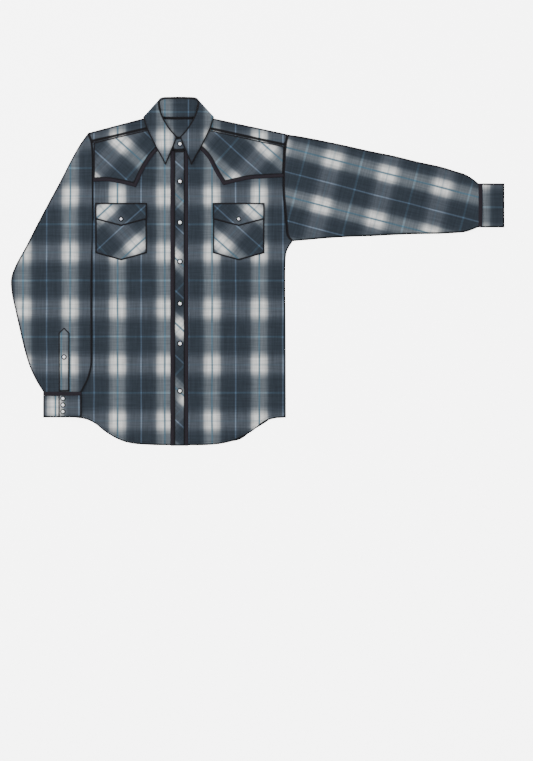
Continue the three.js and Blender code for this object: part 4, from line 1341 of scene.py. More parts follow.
@dataclass
class Fronts:
    """The two front panels, the shoulder strips and the pointed yokes with their piping."""

    finishes: Finishes
    sewing: Sewing
    yoke_wall: float = 1.0
    yoke_seam: float = 0.6
    piping_wall: float = 1.5
    grains: dict[Side, Grain] = field(
        default_factory=lambda: {
            Side.LEFT: Grain(47.7, (-216, -79), (-135, -152.5)),
            Side.RIGHT: Grain(48.3, (82, -32), (149, -46.5)),
        }
    )

    def build(self) -> None:
        """Builds every piece of the fronts."""
        self.panels()
        self.strips()
        for marks in YOKES:
            self.yoke(marks)

    def sheet(
        self, node: str, grid: Array, grain: Grain, gap: float, wall: float, on: Sequence[str]
    ) -> Piece:
        """One piece of cloth over the back, this far above the front panels' underside."""
        mid = with_height(grid, lambda x, y: LIE.front_under(x, y) + gap + wall / 2)
        piece = cloth(f"{node}_cloth", mid, wall, grain.coordinates(grid), self.finishes.check)
        slot = "check_cloth" if grain is BODY_GRAIN else "bias_check_cloth"
        return piece.settle(slot, node).declare("laid", *on)

    def panels(self) -> None:
        """Both front panels, from the strip seams and neck to the hem."""
        columns, rows = 40, 112
        neck = MARKS.neck
        strip_left = (MARKS.arm_left[1], neck[1])
        strip_right = (neck[9], MARKS.arm_right[1])
        centre = edge_of((neck[6], MARKS.hem_centre), cells=rows)
        left = filled(
            edge_of(strip_left, neck[1:7], cells=columns),
            edge_of(MARKS.hem_left, cells=columns),
            edge_of(MARKS.arm_left[1:], MARKS.side_left, cells=rows),
            centre,
            SEAM_GAP,
        )
        right = filled(
            edge_of(neck[6:10], strip_right, cells=columns),
            edge_of(MARKS.hem_right, cells=columns),
            centre,
            edge_of(MARKS.arm_right[1:], MARKS.side_right, cells=rows),
            SEAM_GAP,
        )
        for side, grid in ((Side.LEFT, left), (Side.RIGHT, right)):
            below = ("back_panel_cloth", "back_yoke_cloth")
            piece = self.sheet(f"front_{side.value}", grid, BODY_GRAIN, 0.0, WALL, below)
            self.sewing.row("fronts", along_edge(piece.face, Edge.BOTTOM, HEM_INSET, 2.0))
            self.sewing.edges("fronts", piece, 3.0, Edge.LEFT if side is Side.LEFT else Edge.RIGHT)

    def strips(self) -> None:
        """The narrow strips between the shoulder seams and the front yokes."""
        columns, rows = 30, 8
        neck = MARKS.neck
        pieces = {
            Side.LEFT: (
                (MARKS.arm_left[0], neck[0]), (MARKS.arm_left[1], neck[1]), MARKS.arm_left[:2], neck[:2],
            ),
            Side.RIGHT: (
                (neck[10], MARKS.arm_right[0]), (neck[9], MARKS.arm_right[1]), (neck[10], neck[9]),
                MARKS.arm_right[:2],
            ),
        }
        for side, (top, bottom, left, right) in pieces.items():
            grid = filled(
                edge_of(top, cells=columns), edge_of(bottom, cells=columns), edge_of(left, cells=rows),
                edge_of(right, cells=rows), SEAM_GAP,
            )
            name = f"shoulder_strip_{side.value}"
            piece = self.sheet(name, grid, BODY_GRAIN, 0.0, WALL, ("back_yoke_cloth",))
            self.sewing.edges("fronts", piece, 3.0, Edge.BOTTOM, Edge.TOP)

    def top_edge(self, marks: YokeMarks, reach: float, cells: int) -> Array:
        """A yoke's top edge, moved out to where the shoulder and arm seams take it in.

        Args:
            marks: The yoke's edges.
            reach: How far it goes out.
            cells: Cells along it.

        Returns:
            The edge, left to right.
        """
        left_side = marks.side is Side.LEFT
        seam = marks.shoulder if left_side else marks.shoulder[::-1]
        shoulder, corner = (np.array(mark) for mark in seam)
        along = (corner - shoulder) / np.linalg.norm(corner - shoulder)
        up = np.array([-along[1], along[0]]) * (reach if left_side else -reach)
        crest, tip = tuple(corner + up), tuple(shoulder + up - along * reach)
        if left_side:
            return edge_of((tip, crest), (crest, *marks.neck[1:]), cells=cells)
        return edge_of((*marks.neck[:-1], crest), (crest, tip), cells=cells)

    def yoke(self, marks: YokeMarks) -> None:
        """One bias yoke and the piping sewn along its pointed edge.

        Args:
            marks: The yoke's edges.
        """
        cells = 30
        left_side = marks.side is Side.LEFT
        inner = edge_of(marks.inner, cells=cells)
        lower = edge_of(marks.lower, cells=cells)
        reach = PIPING_WIDTH / 2 - self.yoke_seam
        top = self.top_edge(marks, reach, cells)
        wide = extended(lower[::-1], reach)[::-1] if left_side else extended(lower, reach)
        arm = spaced(np.array([top[0 if left_side else -1], wide[0 if left_side else -1]]), cells)
        left, right = (arm, inner) if left_side else (inner, arm)
        grid = filled(top, wide, left, right, PIPING_WIDTH / 2)
        name = f"front_yoke_{marks.side.value}"
        gap = WALL + LAYER
        below = (f"front_{marks.side.value}_cloth",)
        piece = self.sheet(name, grid, self.grains[marks.side], gap, self.yoke_wall, below)
        self.sewing.edges("fronts", piece, 2.0, Edge.TOP, Edge.BOTTOM, Edge.RIGHT if left_side else Edge.LEFT)
        path = np.vstack([lower, inner[::-1][1:]]) if left_side else np.vstack([inner, lower[1:]])
        cord = band(path, PIPING_WIDTH)
        roll = np.array([0.0, 0.45, 0.6, 0.45, 0.0])
        mid = with_height(cord, LIE.on_front(LAYER + self.piping_wall / 2))
        mid[..., 2] += roll
        piping = cloth(f"{name}_piping_cord", mid, self.piping_wall, cord * MM, self.finishes.piping)
        piping.settle("piping", f"front_yoke_piping_{marks.side.value}")


@dataclass
class Pockets:
    """Two bias pockets, each with a pointed flap."""

    finishes: Finishes
    sewing: Sewing
    half: float = 64.0
    flap_half: float = 64.3
    top: float = -219.0
    corner: float = -337.5
    tip: float = -355.5
    flap_top: float = -213.0
    flap_corner: float = -253.0
    flap_tip: float = -270.0
    pocket_wall: float = 1.0
    flap_wall: float = 1.1
    cells: int = 36
    middles: dict[Side, float] = field(default_factory=lambda: {Side.LEFT: -147.0, Side.RIGHT: 146.5})
    grains: dict[Side, Grain] = field(
        default_factory=lambda: {
            Side.LEFT: Grain(-48.0, (-209, -330.5), (-121, -202.5)),
            Side.RIGHT: Grain(48.0, (85, -218.5), (116, -201)),
        }
    )

    def pointed(self, middle: float, half: float, top: float, corner: float, tip: float, cells: int) -> Array:
        """A panel with a shallow point at the bottom."""
        a, b = middle - half, middle + half
        side = max(cells * 2 // 3, 6)
        return filled(
            edge_of(((a, top), (b, top)), cells=cells),
            edge_of(((a, corner), (middle, tip)), ((middle, tip), (b, corner)), cells=cells),
            edge_of(((a, top), (a, corner)), cells=side),
            edge_of(((b, top), (b, corner)), cells=side),
            0.0,
        )

    def build(self) -> None:
        """Builds both pockets and flaps."""
        on_pocket = LAYER * 2 + self.pocket_wall
        for side, middle in self.middles.items():
            check, hand = self.grains[side].coordinates, side.value
            grid = self.pointed(middle, self.half, self.top, self.corner, self.tip, self.cells)
            mid = with_height(grid, LIE.on_front(LAYER + self.pocket_wall / 2))
            pocket = cloth(f"pocket_{hand}_cloth", mid, self.pocket_wall, check(grid), self.finishes.check)
            pocket.settle("bias_check_cloth", f"pocket_{hand}").declare("laid", f"front_{hand}_cloth")
            grid = self.pointed(
                middle, self.flap_half, self.flap_top, self.flap_corner, self.flap_tip, self.cells)
            mid = with_height(grid, LIE.on_front(on_pocket + self.flap_wall / 2))
            flap = cloth(f"pocket_flap_{hand}_cloth", mid, self.flap_wall, check(grid), self.finishes.check)
            flap.settle("bias_check_cloth", f"pocket_flap_{hand}").declare("laid", f"pocket_{hand}_cloth")
            for edge in (Edge.LEFT, Edge.RIGHT, Edge.BOTTOM):
                self.sewing.edges("pockets", pocket, 2.0, edge)
                self.sewing.edges("pockets", flap, 2.0, edge)
            self.sewing.edges("pockets", flap, 2.0, Edge.TOP)

    def flap_height(self) -> Height:
        """The top of a flap."""
        return LIE.on_front(LAYER * 2 + self.pocket_wall + self.flap_wall)


@dataclass
class Placket:
    """The bias band down the centre front, piped on both sides."""

    finishes: Finishes
    sewing: Sewing
    left: float = -15.0
    right: float = 12.5
    top: float = -83.0
    bottom: float = -819.0
    wall: float = 1.2
    piping_wall: float = 1.5
    grain: Grain = Grain(47.0, (-15, -106), (0, -217.5))

    def strip(self, name: str, node: str, a: float, b: float, wall: float, piped: bool) -> None:
        """One long strip between two places across the front."""
        rows = 180
        grid = filled(
            edge_of(((a, self.top), (b, self.top)), cells=6),
            edge_of(((a, self.bottom), (b, self.bottom)), cells=6),
            edge_of(((a, self.top), (a, self.bottom)), cells=rows),
            edge_of(((b, self.top), (b, self.bottom)), cells=rows),
            0.0,
        )
        mid = with_height(grid, LIE.on_front(LAYER + wall / 2))
        if piped:
            mid[..., 2] += 0.6 * np.sin(np.linspace(0, math.pi, 7))
        material = self.finishes.piping if piped else self.finishes.check
        piece = cloth(name, mid, wall, self.grain.coordinates(grid), material)
        piece.settle("piping" if piped else "bias_check_cloth", node)
        if not piped:
            piece.declare("laid", "front_left_cloth")
            self.sewing.edges("placket", piece, 3.0, Edge.LEFT, Edge.RIGHT)

    def build(self) -> None:
        """Builds the band and its two cords."""
        self.strip("placket_cloth", "placket", self.left, self.right, self.wall, False)
        cords = {
            Side.LEFT: (self.left - LAYER - PIPING_WIDTH - 1, self.left - LAYER),
            Side.RIGHT: (self.right + LAYER, self.right + LAYER + PIPING_WIDTH),
        }
        for side, (a, b) in cords.items():
            name = f"placket_piping_{side.value}"
            self.strip(f"{name}_cord", name, a, b, self.piping_wall, True)

    def height(self) -> Height:
        """The top of the band."""
        return LIE.on_front(LAYER + self.wall)


@dataclass(frozen=True)
class Station:
    """One line across the collar or stand, from a to b, each with the cloth's height."""

    a: Mark
    a_height: float
    b: Mark
    b_height: float


@dataclass
class Neck:
    """The stand round the neck and the pointed collar that folds over it."""

    finishes: Finishes
    sewing: Sewing
    middle: float = -3.5
    wall: float = 1.3
    lap: float = 17.0
    lap_step: float = 0.9
    collar: tuple[Station, ...] = (
        Station((-7, -48.5), 9.6, (-36, -118), 8.2),
        Station((-17.5, -37), 10.2, (-45.5, -99), 8.2),
        Station((-26.5, -26), 10.8, (-56, -81), 8.2),
        Station((-34.5, -13.5), 11.3, (-65, -63.5), 8.1),
        Station((-41, -2), 11.6, (-75.5, -43), 7.9),
        Station((-46.5, 11), 11.4, (-83.5, -25), 7.6),
        Station((-50.5, 22.5), 10.9, (-88, -11), 7.0),
        Station((-52.5, 34), 9.6, (-91, -1.5), 5.8),
        Station((-52.5, 43), 7.0, (-91.5, 2.5), 3.9),
        Station((-48.5, 49.5), 3.9, (-86.5, 5), 1.8),
        Station((-39, 52), 2.2, (-71, 5.5), 0.65),
        Station((-24, 52.5), 1.6, (-42.5, 3.5), 0.65),
        Station((-3.5, 53), 1.4, (-3.5, 2.5), 0.65),
    )
    stand: tuple[Station, ...] = (
        Station((-2.5, -81), 4.55, (-2.5, -51), 7.4),
        Station((-21, -77.5), 4.55, (-12, -46), 7.7),
        Station((-41, -65), 4.55, (-24.5, -31.5), 8.2),
        Station((-56, -44), 4.55, (-37.5, -13), 8.7),
        Station((-66, -21.5), 4.55, (-45.5, 7.5), 8.6),
        Station((-72.5, -6), 4.3, (-49.5, 26.5), 7.8),
        Station((-74, 0), 3.7, (-51, 38.5), 6.4),
        Station((-69, 2.5), 2.9, (-46.5, 46), 4.8),
        Station((-57.5, 1.5), 2.4, (-37, 49.5), 3.8),
        Station((-37.5, 0), 2.6, (-23, 50), 3.5),
        Station((-3, -0.5), 2.7, (-3.5, 50.5), 3.4),
    )

    def rounded(self, stations: Sequence[Station], lead: Array | None, rows: int, across: int) -> Array:
        """A grid through the stations and their mirror image, drawn as smooth curves.

        Args:
            stations: From the front round the left to the middle of the back.
            lead: Extra end lines before the first station and after the last, or None.
            rows: Rows in the grid.
            across: Cells across it.

        Returns:
            Rows, columns and x, y, z.
        """
        a = [(*s.a, s.a_height) for s in stations]
        b = [(*s.b, s.b_height) for s in stations]
        lines = []
        for line in (a, b):
            half = np.array(line)
            mirror = half[::-1][1:] * np.array([-1, 1, 1]) + np.array([2 * self.middle, 0, 0])
            lines.append(np.vstack([half, mirror]))
        if lead is not None:
            for k, line in enumerate(lines):
                lap, turn, under = lead[:, k]
                lines[k] = np.vstack([line[0] + lap, line[0] + turn, line[1:], line[-1] + under])
                lines[k][2, 2] -= self.lap_step
        curves = [self.smooth(line, rows) for line in lines]
        share = np.linspace(0, 1, across + 1)[None, :, None]
        return curves[0][:, None] * (1 - share) + curves[1][:, None] * share

    def smooth(self, line: Array, rows: int) -> Array:
        """A smooth curve through the line's points, with equal steps from point to point."""
        per_span = max(rows // (len(line) - 1), 2)
        p = np.vstack([2 * line[0] - line[1], line, 2 * line[-1] - line[-2]])
        t = np.linspace(0, 1, per_span + 1)[1:, None]
        out = [line[:1]]
        for a, b, c, d in zip(p[:-3], p[1:-2], p[2:-1], p[3:]):
            out.append(0.5 * (2 * b + (c - a) * t + (2 * a - 5 * b + 4 * c - d) * t**2
                              + (3 * b - a - 3 * c + d) * t**3))
        return np.vstack(out)

    def build(self) -> None:
        """Builds the collar and the stand."""
        grid = self.rounded(self.collar, None, 144, 16)
        piece = cloth("collar_cloth", grid, self.wall, BODY_GRAIN.coordinates(grid), self.finishes.check)
        piece.settle("check_cloth", "collar").declare("folded", "collar_stand_cloth")
        for edge in (Edge.TOP, Edge.BOTTOM, Edge.RIGHT):
            self.sewing.row("collar", along_edge(piece.face, edge, COLLAR_INSET, COLLAR_INSET))
        lead = np.array([
            [[self.lap, 6, -1.7], [self.lap, 6, -1.7]],
            [[2, 3, -1.7], [2, 3, -1.7]],
            [[3 - self.lap, 1, 0], [3 - self.lap, 1, 0]],
        ])
        grid = self.rounded(self.stand, lead, 132, 9)
        check = BODY_GRAIN.coordinates(grid)
        piece = cloth("collar_stand_cloth", grid, self.wall, check, self.finishes.check)
        piece.settle("check_cloth", "collar_stand")
        piece.declare("folded", "front_left_cloth", "front_right_cloth", "back_yoke_cloth")


@dataclass(frozen=True)
class Chord:
    """One line across a lying sleeve, between its two folded edges."""

    outer: Mark
    inner: Mark


@dataclass
class Sleeve:
    """One sleeve: a flattened tube, and the shape and heights on it that its piping and placket follow."""

    finishes: Finishes
    side: Side
    seam: tuple[Mark, ...]
    chords: tuple[Chord, ...]
    ground: Height
    grain: Grain
    creases: tuple[Crease, ...] = ()
    wall: float = 1.2
    edge_gap: float = 0.6
    crown_gap: float = 2.8
    fold_reach: float = 1.5
    crease_reach: float = 1.6

    def chord_curves(self, rows: int, across: int) -> Array:
        """Plan points of the sleeve: rows down it, from its outer to its inner edge."""
        seam = spaced(smooth_run(self.seam), across)
        share = np.linspace(0, 1, across + 1)[:, None]
        bow = seam - (seam[0] * (1 - share) + seam[-1] * share)
        outer = smooth_run([self.seam[0], *(c.outer for c in self.chords)], 8)
        inner = smooth_run([self.seam[-1], *(c.inner for c in self.chords)], 8)
        keep = np.clip(1 - np.arange(len(outer)) / 24, 0, 1)[:, None, None]
        plan = outer[:, None] * (1 - share) + inner[:, None] * share + bow[None] * keep
        pick = np.linspace(0, len(outer) - 1, rows + 1)
        low = np.minimum(pick.astype(int), len(outer) - 2)
        part = (pick - low)[:, None, None]
        return plan[low] * (1 - part) + plan[low + 1] * part

    def gap(self, share: Array, x: Array, y: Array, creases: Sequence[Crease]) -> Array:
        """How far the upper wall stands off the lower one.

        Args:
            share: How far across the sleeve, from 0 to 1.
            x: Across the garment.
            y: Up the garment.
            creases: The ridges that lift it.

        Returns:
            Distances in millimetres.
        """
        bow = 4 * share * (1 - share)
        gap = self.edge_gap + (self.crown_gap - self.edge_gap) * bow
        for crease in creases:
            gap = gap + crease.at(x, y) * np.clip(bow * self.crease_reach, 0, 1)
        return gap

    def tube(self, plan: Array, puff: bool = True) -> Array:
        """The middle points of a flattened tube over its plan.

        Args:
            plan: Rows across the tube.
            puff: Whether its upper wall stands off and creases.

        Returns:
            Rows, points round the tube and x, y, z.
        """
        across = plan.shape[1] - 1
        share = np.linspace(0, 1, across + 1)[None, :]
        inward = plan.copy()
        for at, step in ((0, 1), (-1, -2)):
            way = plan[:, step] - plan[:, at]
            way /= np.linalg.norm(way, axis=1, keepdims=True)
            inward[:, at] += way * self.fold_reach
        rest = self.ground(inward[..., 0], inward[..., 1])
        gap = self.gap(share, inward[..., 0], inward[..., 1], self.creases if puff else ())
        lower = np.concatenate([inward, (rest + self.wall / 2)[..., None]], axis=-1)
        upper = np.concatenate([inward, (rest + self.wall * 1.5 + gap)[..., None]], axis=-1)
        folds = []
        for at, step in ((-1, -2), (0, 1)):
            way = plan[:, step] - plan[:, at]
            way /= np.linalg.norm(way, axis=1, keepdims=True)
            edge = plan[:, at] + way * self.wall / 2
            height = self.ground(edge[:, 0], edge[:, 1]) + self.wall + self.edge_gap / 2
            folds.append(np.concatenate([edge, height[:, None]], axis=-1)[:, None])
        return np.concatenate([lower, folds[0], upper[:, ::-1], folds[1]], axis=1)

    def build_tube(self, rows: int, across: int) -> None:
        """The sleeve itself."""
        plan = self.chord_curves(rows, across)
        mid = self.tube(plan)
        name = f"sleeve_{self.side.value}"
        piece = cloth(
            f"{name}_cloth", mid, self.wall, self.grain.coordinates(mid), self.finishes.check, closed=True,
            folds=(across + 1, mid.shape[1] - 1), piped=Edge.BOTTOM,
        )
        piece.settle("check_cloth", name)
        piece.declare("laid", *(("front_left_cloth",) if self.side is Side.LEFT else ()))

    def top_at(self, x: Array, y: Array, across_x: bool) -> Array:
        """The outside of the upper wall near the cuff, where the chords run along one axis.

        Args:
            x: Across the garment.
            y: Up the garment.
            across_x: Whether the chords there run along x.

        Returns:
            Heights in millimetres.
        """
        along, key = (1, y) if across_x else (0, x)
        sides = []
        order = 1 - along
        for marks in ([c.outer for c in self.chords], [c.inner for c in self.chords]):
            line = smooth_run(marks, 8)
            rank = np.argsort(line[:, along])
            sides.append(np.interp(key, line[rank, along], line[rank, order]))
        value = x if across_x else y
        share = np.clip((value - sides[0]) / (sides[1] - sides[0]), 0, 1)
        return self.ground(x, y) + self.wall * 2 + self.gap(share, x, y, self.creases)


@dataclass(frozen=True)
class CuffPlan:
    """Where a cuff lies: its folds, its ends and how far down the sleeve it reaches."""

    near: float
    far: float
    fold_a: float
    fold_b: float
    under_end: float
    lap_edge: float
    upright: bool
    lap_below: bool


@dataclass
class Cuff:
    """A cuff: a band folded flat whose ends lap under its snaps."""

    finishes: Finishes
    sewing: Sewing
    side: Side
    plan: CuffPlan
    ground: Height
    grain: Grain
    wall: float = CUFF_WALL
    fold: float = 1.7

    def line(self) -> Array:
        """The middle line from the under end round to the lap: place across the cuff, and height."""
        one = self.wall + CUFF_SPACE
        two = one + self.wall + CUFF_LAYER
        a0, b0 = self.plan.fold_a, self.plan.fold_b
        way = math.copysign(1.0, b0 - a0)
        a, b = a0 + way * self.fold, b0 - way * self.fold
        half = way * self.wall / 2
        runs = [
            [(self.plan.under_end, one), (a, one)],
            [(a, one), (a0 + half, one / 2), (a, 0)],
            [(a, 0), (b, 0)],
            [(b, 0), (b0 - half, one / 2), (b0 - half, two * 0.72), (b, two)],
            [(b, two), (self.plan.lap_edge, two)],
        ]
        cells = [10, 6, 26, 8, 16]
        parts = [spaced(smooth_run(run), count) for run, count in zip(runs, cells)]
        line = np.vstack([parts[0]] + [part[1:] for part in parts[1:]])
        if self.plan.lap_below:
            line[:, 1] = two - line[:, 1]
        return line

    def build(self) -> None:
        """Builds the cuff."""
        line = self.line()
        rows = []
        for share in np.linspace(0, 1, 16):
            place = self.plan.near + (self.plan.far - self.plan.near) * share
            x, y = (line[:, 0], np.full(len(line), place)) if self.plan.upright else (
                np.full(len(line), place), line[:, 0])
            rows.append(np.stack([x, y, self.ground(x, y) + self.wall / 2 + line[:, 1]], axis=1))
        mid = np.array(rows)
        name = f"cuff_{self.side.value}"
        across = line[:, 0]
        folds = (int(across.argmin()), int(across.argmax()))
        piece = cloth(
            f"{name}_cloth", mid, self.wall, self.grain.coordinates(mid), self.finishes.check, folds=folds,
            piped=Edge.TOP,
        )
        piece.settle("check_cloth", name).declare("folded", f"sleeve_{self.side.value}_cloth")
        self.stitch(mid)

    def stitch(self, mid: Array) -> None:
        """Top stitching along both edges of the part that shows.

        Args:
            mid: The cuff's middle points, rows down the cuff.
        """
        rise_up = mid[..., 2] - mid[..., 2].min(axis=1, keepdims=True)
        shown = np.flatnonzero(rise_up[0] < 0.1) if self.plan.lap_below else np.arange(52, mid.shape[1])
        face = mid[:, shown] + np.array([0, 0, self.wall / 2])
        if self.plan.lap_below:
            face[..., 2] = mid[..., 2].max() + self.wall / 2
        for edge in (Edge.TOP, Edge.BOTTOM):
            self.sewing.row(f"cuff_{self.side.value}", along_edge(face, edge, SEAM_INSET, 2.0))


@dataclass
class Snap:
    """A pearl snap: a white dome held in a dark metal rim."""

    finishes: Finishes
    radius: float
    pearl: float
    rim_height: float = 1.5
    dome: float = 2.3
    segments: int = 40

    def profile(self) -> tuple[Array, Array]:
        """The turned outline: radius and height, and the finish of each span."""
        r, p, h = self.radius, self.pearl, self.rim_height
        seat = h * 0.66
        rim = [
            (0.0, 0.0), (r * 0.9, 0.0), (r, 0.3), (r, h * 0.62), (r * 0.97, h * 0.86), (r * 0.9, h),
            ((r + p) / 2, h * 0.97), (p + 0.25, h * 0.86), (p, seat),
        ]
        dome = [
            (p * math.cos(a), seat + (self.dome - seat) * math.sin(a))
            for a in np.linspace(0.12, math.pi / 2, 9)
        ]
        line = np.array(rim + dome)
        finish = np.array([0] * len(rim) + [1] * (len(dome) - 1))
        return line, finish

    def build(self, name: str, x: float, y: float, z: float, down: bool = False) -> None:
        """Builds one snap.

        Args:
            name: The solid that it replaces.
            x: Its middle across the garment.
            y: Its middle up the garment.
            z: The height of its seat.
            down: Whether it faces the floor.
        """
        line, finish = self.profile()
        turn = np.linspace(0, math.tau, self.segments, endpoint=False)
        sense = -1.0 if down else 1.0
        ring = np.stack([np.cos(turn), np.sin(turn)], axis=1)
        level = np.ones((self.segments, 1))
        points = np.concatenate([
            np.hstack([np.array([x, y]) + ring * radius, level * (z + sense * height)])
            for radius, height in line
        ])
        count = len(line)
        index = np.arange(count * self.segments).reshape(count, self.segments)
        nxt = np.roll(index, -1, axis=1)
        quads = np.stack([index[:-1], nxt[:-1], nxt[1:], index[1:]], axis=-1).reshape(-1, 4)
        slots = np.repeat(finish, self.segments)
        finishes = [self.finishes.rim, self.finishes.pearl]
        obj = mesh_object(f"{name}_cap", points, quads, finishes, slots=slots)
        self.weld(obj)
        settle(obj, "pearl_snap", name)

    def weld(self, obj: bpy.types.Object) -> None:
        """Closes the two poles by merging their points."""
        work = bmesh.new()
        work.from_mesh(obj.data)
        bmesh.ops.remove_doubles(work, verts=work.verts, dist=1e-6)
        bmesh.ops.recalc_face_normals(work, faces=work.faces)
        work.to_mesh(obj.data)
        work.free()


# Stage.


@dataclass(frozen=True)
class Stage:
    """The pale floor, the soft lights and the camera straight above."""

    photo_height: int = 761
    mm_per_pixel: float = 2.5
    centre: Mark = (216, -656)
    lens: float = 85.0
    sensor: float = 36.0
    floor_glow: float = 5.0
    floor_half: float = 6.0
    floor_height: float = -0.0003

    def build(self) -> None:
        """Builds the stage."""
        self.floor()
        self.lights()
        self.camera()

    def place(self, mark: Mark) -> tuple[float, float]:
        """A garment point in the frame."""
        spot = np.array(mark) * MM + GARMENT_ORIGIN
        return float(spot[0]), float(spot[1])

    def floor(self) -> None:
        """A white floor, just under the shirt."""
        x, y = self.place(self.centre)
        half = self.floor_half
        corners = ((-half, -half), (half, -half), (half, half), (-half, half))
        points = [(x + a, y + b, self.floor_height) for a, b in corners]
        mesh = bpy.data.meshes.new("pale_floor")
        mesh.from_pydata(points, [], [(0, 1, 2, 3)])
        kit = Nodes("floor_white")
        kit.set(Base_Color=(0.96, 0.96, 0.96, 1), Emission_Color=(1, 1, 1, 1))
        kit.set(Emission_Strength=self.floor_glow, Roughness=0.95, Specular_IOR_Level=0.1)
        mesh.materials.append(kit.material)
        floor = bpy.data.objects.new("pale_floor", mesh)
        bpy.context.scene.collection.objects.link(floor)

    def lights(self) -> None:
        """A wide soft light overhead, a weaker one from the upper left, and a white surround."""
        x, y = self.place(self.centre)
        for name, offset, size, power in (
            ("overhead_softbox", (0.0, 0.4, 4.0), 4.5, 170.0),
            ("upper_left_softbox", (-2.6, 2.4, 2.2), 1.6, 80.0),
        ):
            data = bpy.data.lights.new(name, "AREA")
            data.shape = "SQUARE"
            data.size = size
            data.energy = power
            light = bpy.data.objects.new(name, data)
            light.location = (x + offset[0], y + offset[1], offset[2])
            direction = np.array([-offset[0], -offset[1], -offset[2]])
            pitch = math.acos(float(-direction[2] / np.linalg.norm(direction)))
            heading = math.atan2(float(direction[1]), float(direction[0])) - math.pi / 2
            light.rotation_euler = (pitch, 0.0, heading)
            bpy.context.scene.collection.objects.link(light)
        world = bpy.data.worlds.new("white_surround")
        world.use_nodes = True
        background = world.node_tree.nodes["Background"]
        background.inputs["Color"].default_value = (1, 1, 1, 1)
        background.inputs["Strength"].default_value = 0.7
        bpy.context.scene.world = world

    def camera(self) -> None:
        """A long lens straight above, with the collar at the top."""
        x, y = self.place(self.centre)
        height = self.photo_height * self.mm_per_pixel * MM
        data = bpy.data.cameras.new("photo_camera")
        data.lens = self.lens
        data.sensor_width = self.sensor
        data.sensor_fit = "AUTO"
        camera = bpy.data.objects.new("photo_camera", data)
        camera.location = (x, y, height * self.lens / self.sensor)
        bpy.context.scene.collection.objects.link(camera)
        bpy.context.scene.camera = camera


@dataclass
class Shirt:
    """The whole shirt, built in order from the floor up."""

    finishes: Finishes
    bent_chords: tuple[Chord, ...] = (
        Chord((-249, -64), (-219.5, -280)),
        Chord((-272.5, -105), (-219.5, -302.5)),
        Chord((-296, -151), (-219.5, -325)),
        Chord((-325, -205), (-219.5, -347.5)),
        Chord((-357, -265), (-219.5, -370)),
        Chord((-387, -324), (-219.5, -392.5)),
        Chord((-412.5, -371), (-219.5, -412.5)),
        Chord((-422.5, -401), (-219.5, -432.5)),
        Chord((-421, -437.5), (-219.5, -457.5)),
        Chord((-412.5, -477.5), (-219.5, -490)),
        Chord((-401, -529), (-219.5, -530)),
        Chord((-389, -580), (-219.5, -575)),
        Chord((-375.5, -622.5), (-220, -617.5)),
        Chord((-359, -657.5), (-229, -652.5)),
        Chord((-342.5, -684), (-245, -684)),
    )
    straight_chords: tuple[Chord, ...] = (
        Chord((300, -45.5), (307.5, -306)),
        Chord((350, -55), (352.5, -302)),
        Chord((410, -67.5), (410, -298)),
        Chord((470, -81), (470, -296)),
        Chord((530, -93.5), (530, -293)),
        Chord((590, -108.5), (590, -291)),
        Chord((650, -121.5), (650, -290)),
        Chord((687.5, -133), (687.5, -288)),
        Chord((712.5, -141), (712.5, -285.5)),
        Chord((733.5, -154), (732, -279)),
        Chord((745, -163.5), (745, -273.5)),
    )
    sleeve_lift: float = 4.1
    cuff_lift: float = 2.7
    sleeve_grain: Grain = Grain(90 - 14.6, (264, -134.5), (459.5, -87.5))

    def straight_ground(self, x: Array, y: Array) -> Array:
        """What the outstretched sleeve lies on: the floor, then its own placket and snaps."""
        return self.sleeve_lift * rise(485.0, 585.0, x)

    def sleeves(self) -> dict[Side, Sleeve]:
        """Both sleeves with their creases."""
        return {
            Side.LEFT: Sleeve(
                self.finishes, Side.LEFT, MARKS.arm_left, self.bent_chords, LIE.body_ramp, BODY_GRAIN,
                creases=(
                    Crease((-225, -360), (-385, -375), 1.7, 12),
                    Crease((-225, -410), (-405, -415), 1.3, 9),
                    Crease((-230, -455), (-365, -485), 1.0, 10),
                    Crease((-240, -295), (-340, -270), 0.9, 11),
                    Crease((-325, -680), (-340, -555), 0.9, 7),
                    Crease((-260, -680), (-250, -575), 0.9, 7),
                ),
            ),
            Side.RIGHT: Sleeve(
                self.finishes, Side.RIGHT, MARKS.arm_right, self.straight_chords, self.straight_ground,
                self.sleeve_grain,
                creases=(
                    Crease((295, -285), (430, -195), 1.3, 13),
                    Crease((290, -250), (375, -130), 1.0, 11),
                    Crease((550, -270), (735, -240), 1.0, 8),
                    Crease((575, -135), (735, -185), 0.9, 8),
                    Crease((440, -105), (600, -180), 0.7, 12),
                ),
            ),
        }

    def build(self) -> None:
        """Builds every sub-assembly."""
        sewing = Sewing(self.finishes)
        Back(self.finishes, sewing).build()
        Fronts(self.finishes, sewing).build()
        pockets = Pockets(self.finishes, sewing)
        pockets.build()
        placket = Placket(self.finishes, sewing)
        placket.build()
        Neck(self.finishes, sewing).build()
        sleeves = self.sleeves()
        sleeves[Side.LEFT].build_tube(120, 44)
        sleeves[Side.RIGHT].build_tube(96, 44)
        SleeveEnds(self.finishes, sewing, self, sleeves).build()
        FrontSnaps(self.finishes, pockets, placket).build()
        sewing.build()
        Embroidery(self.finishes, sewing.tree).build()


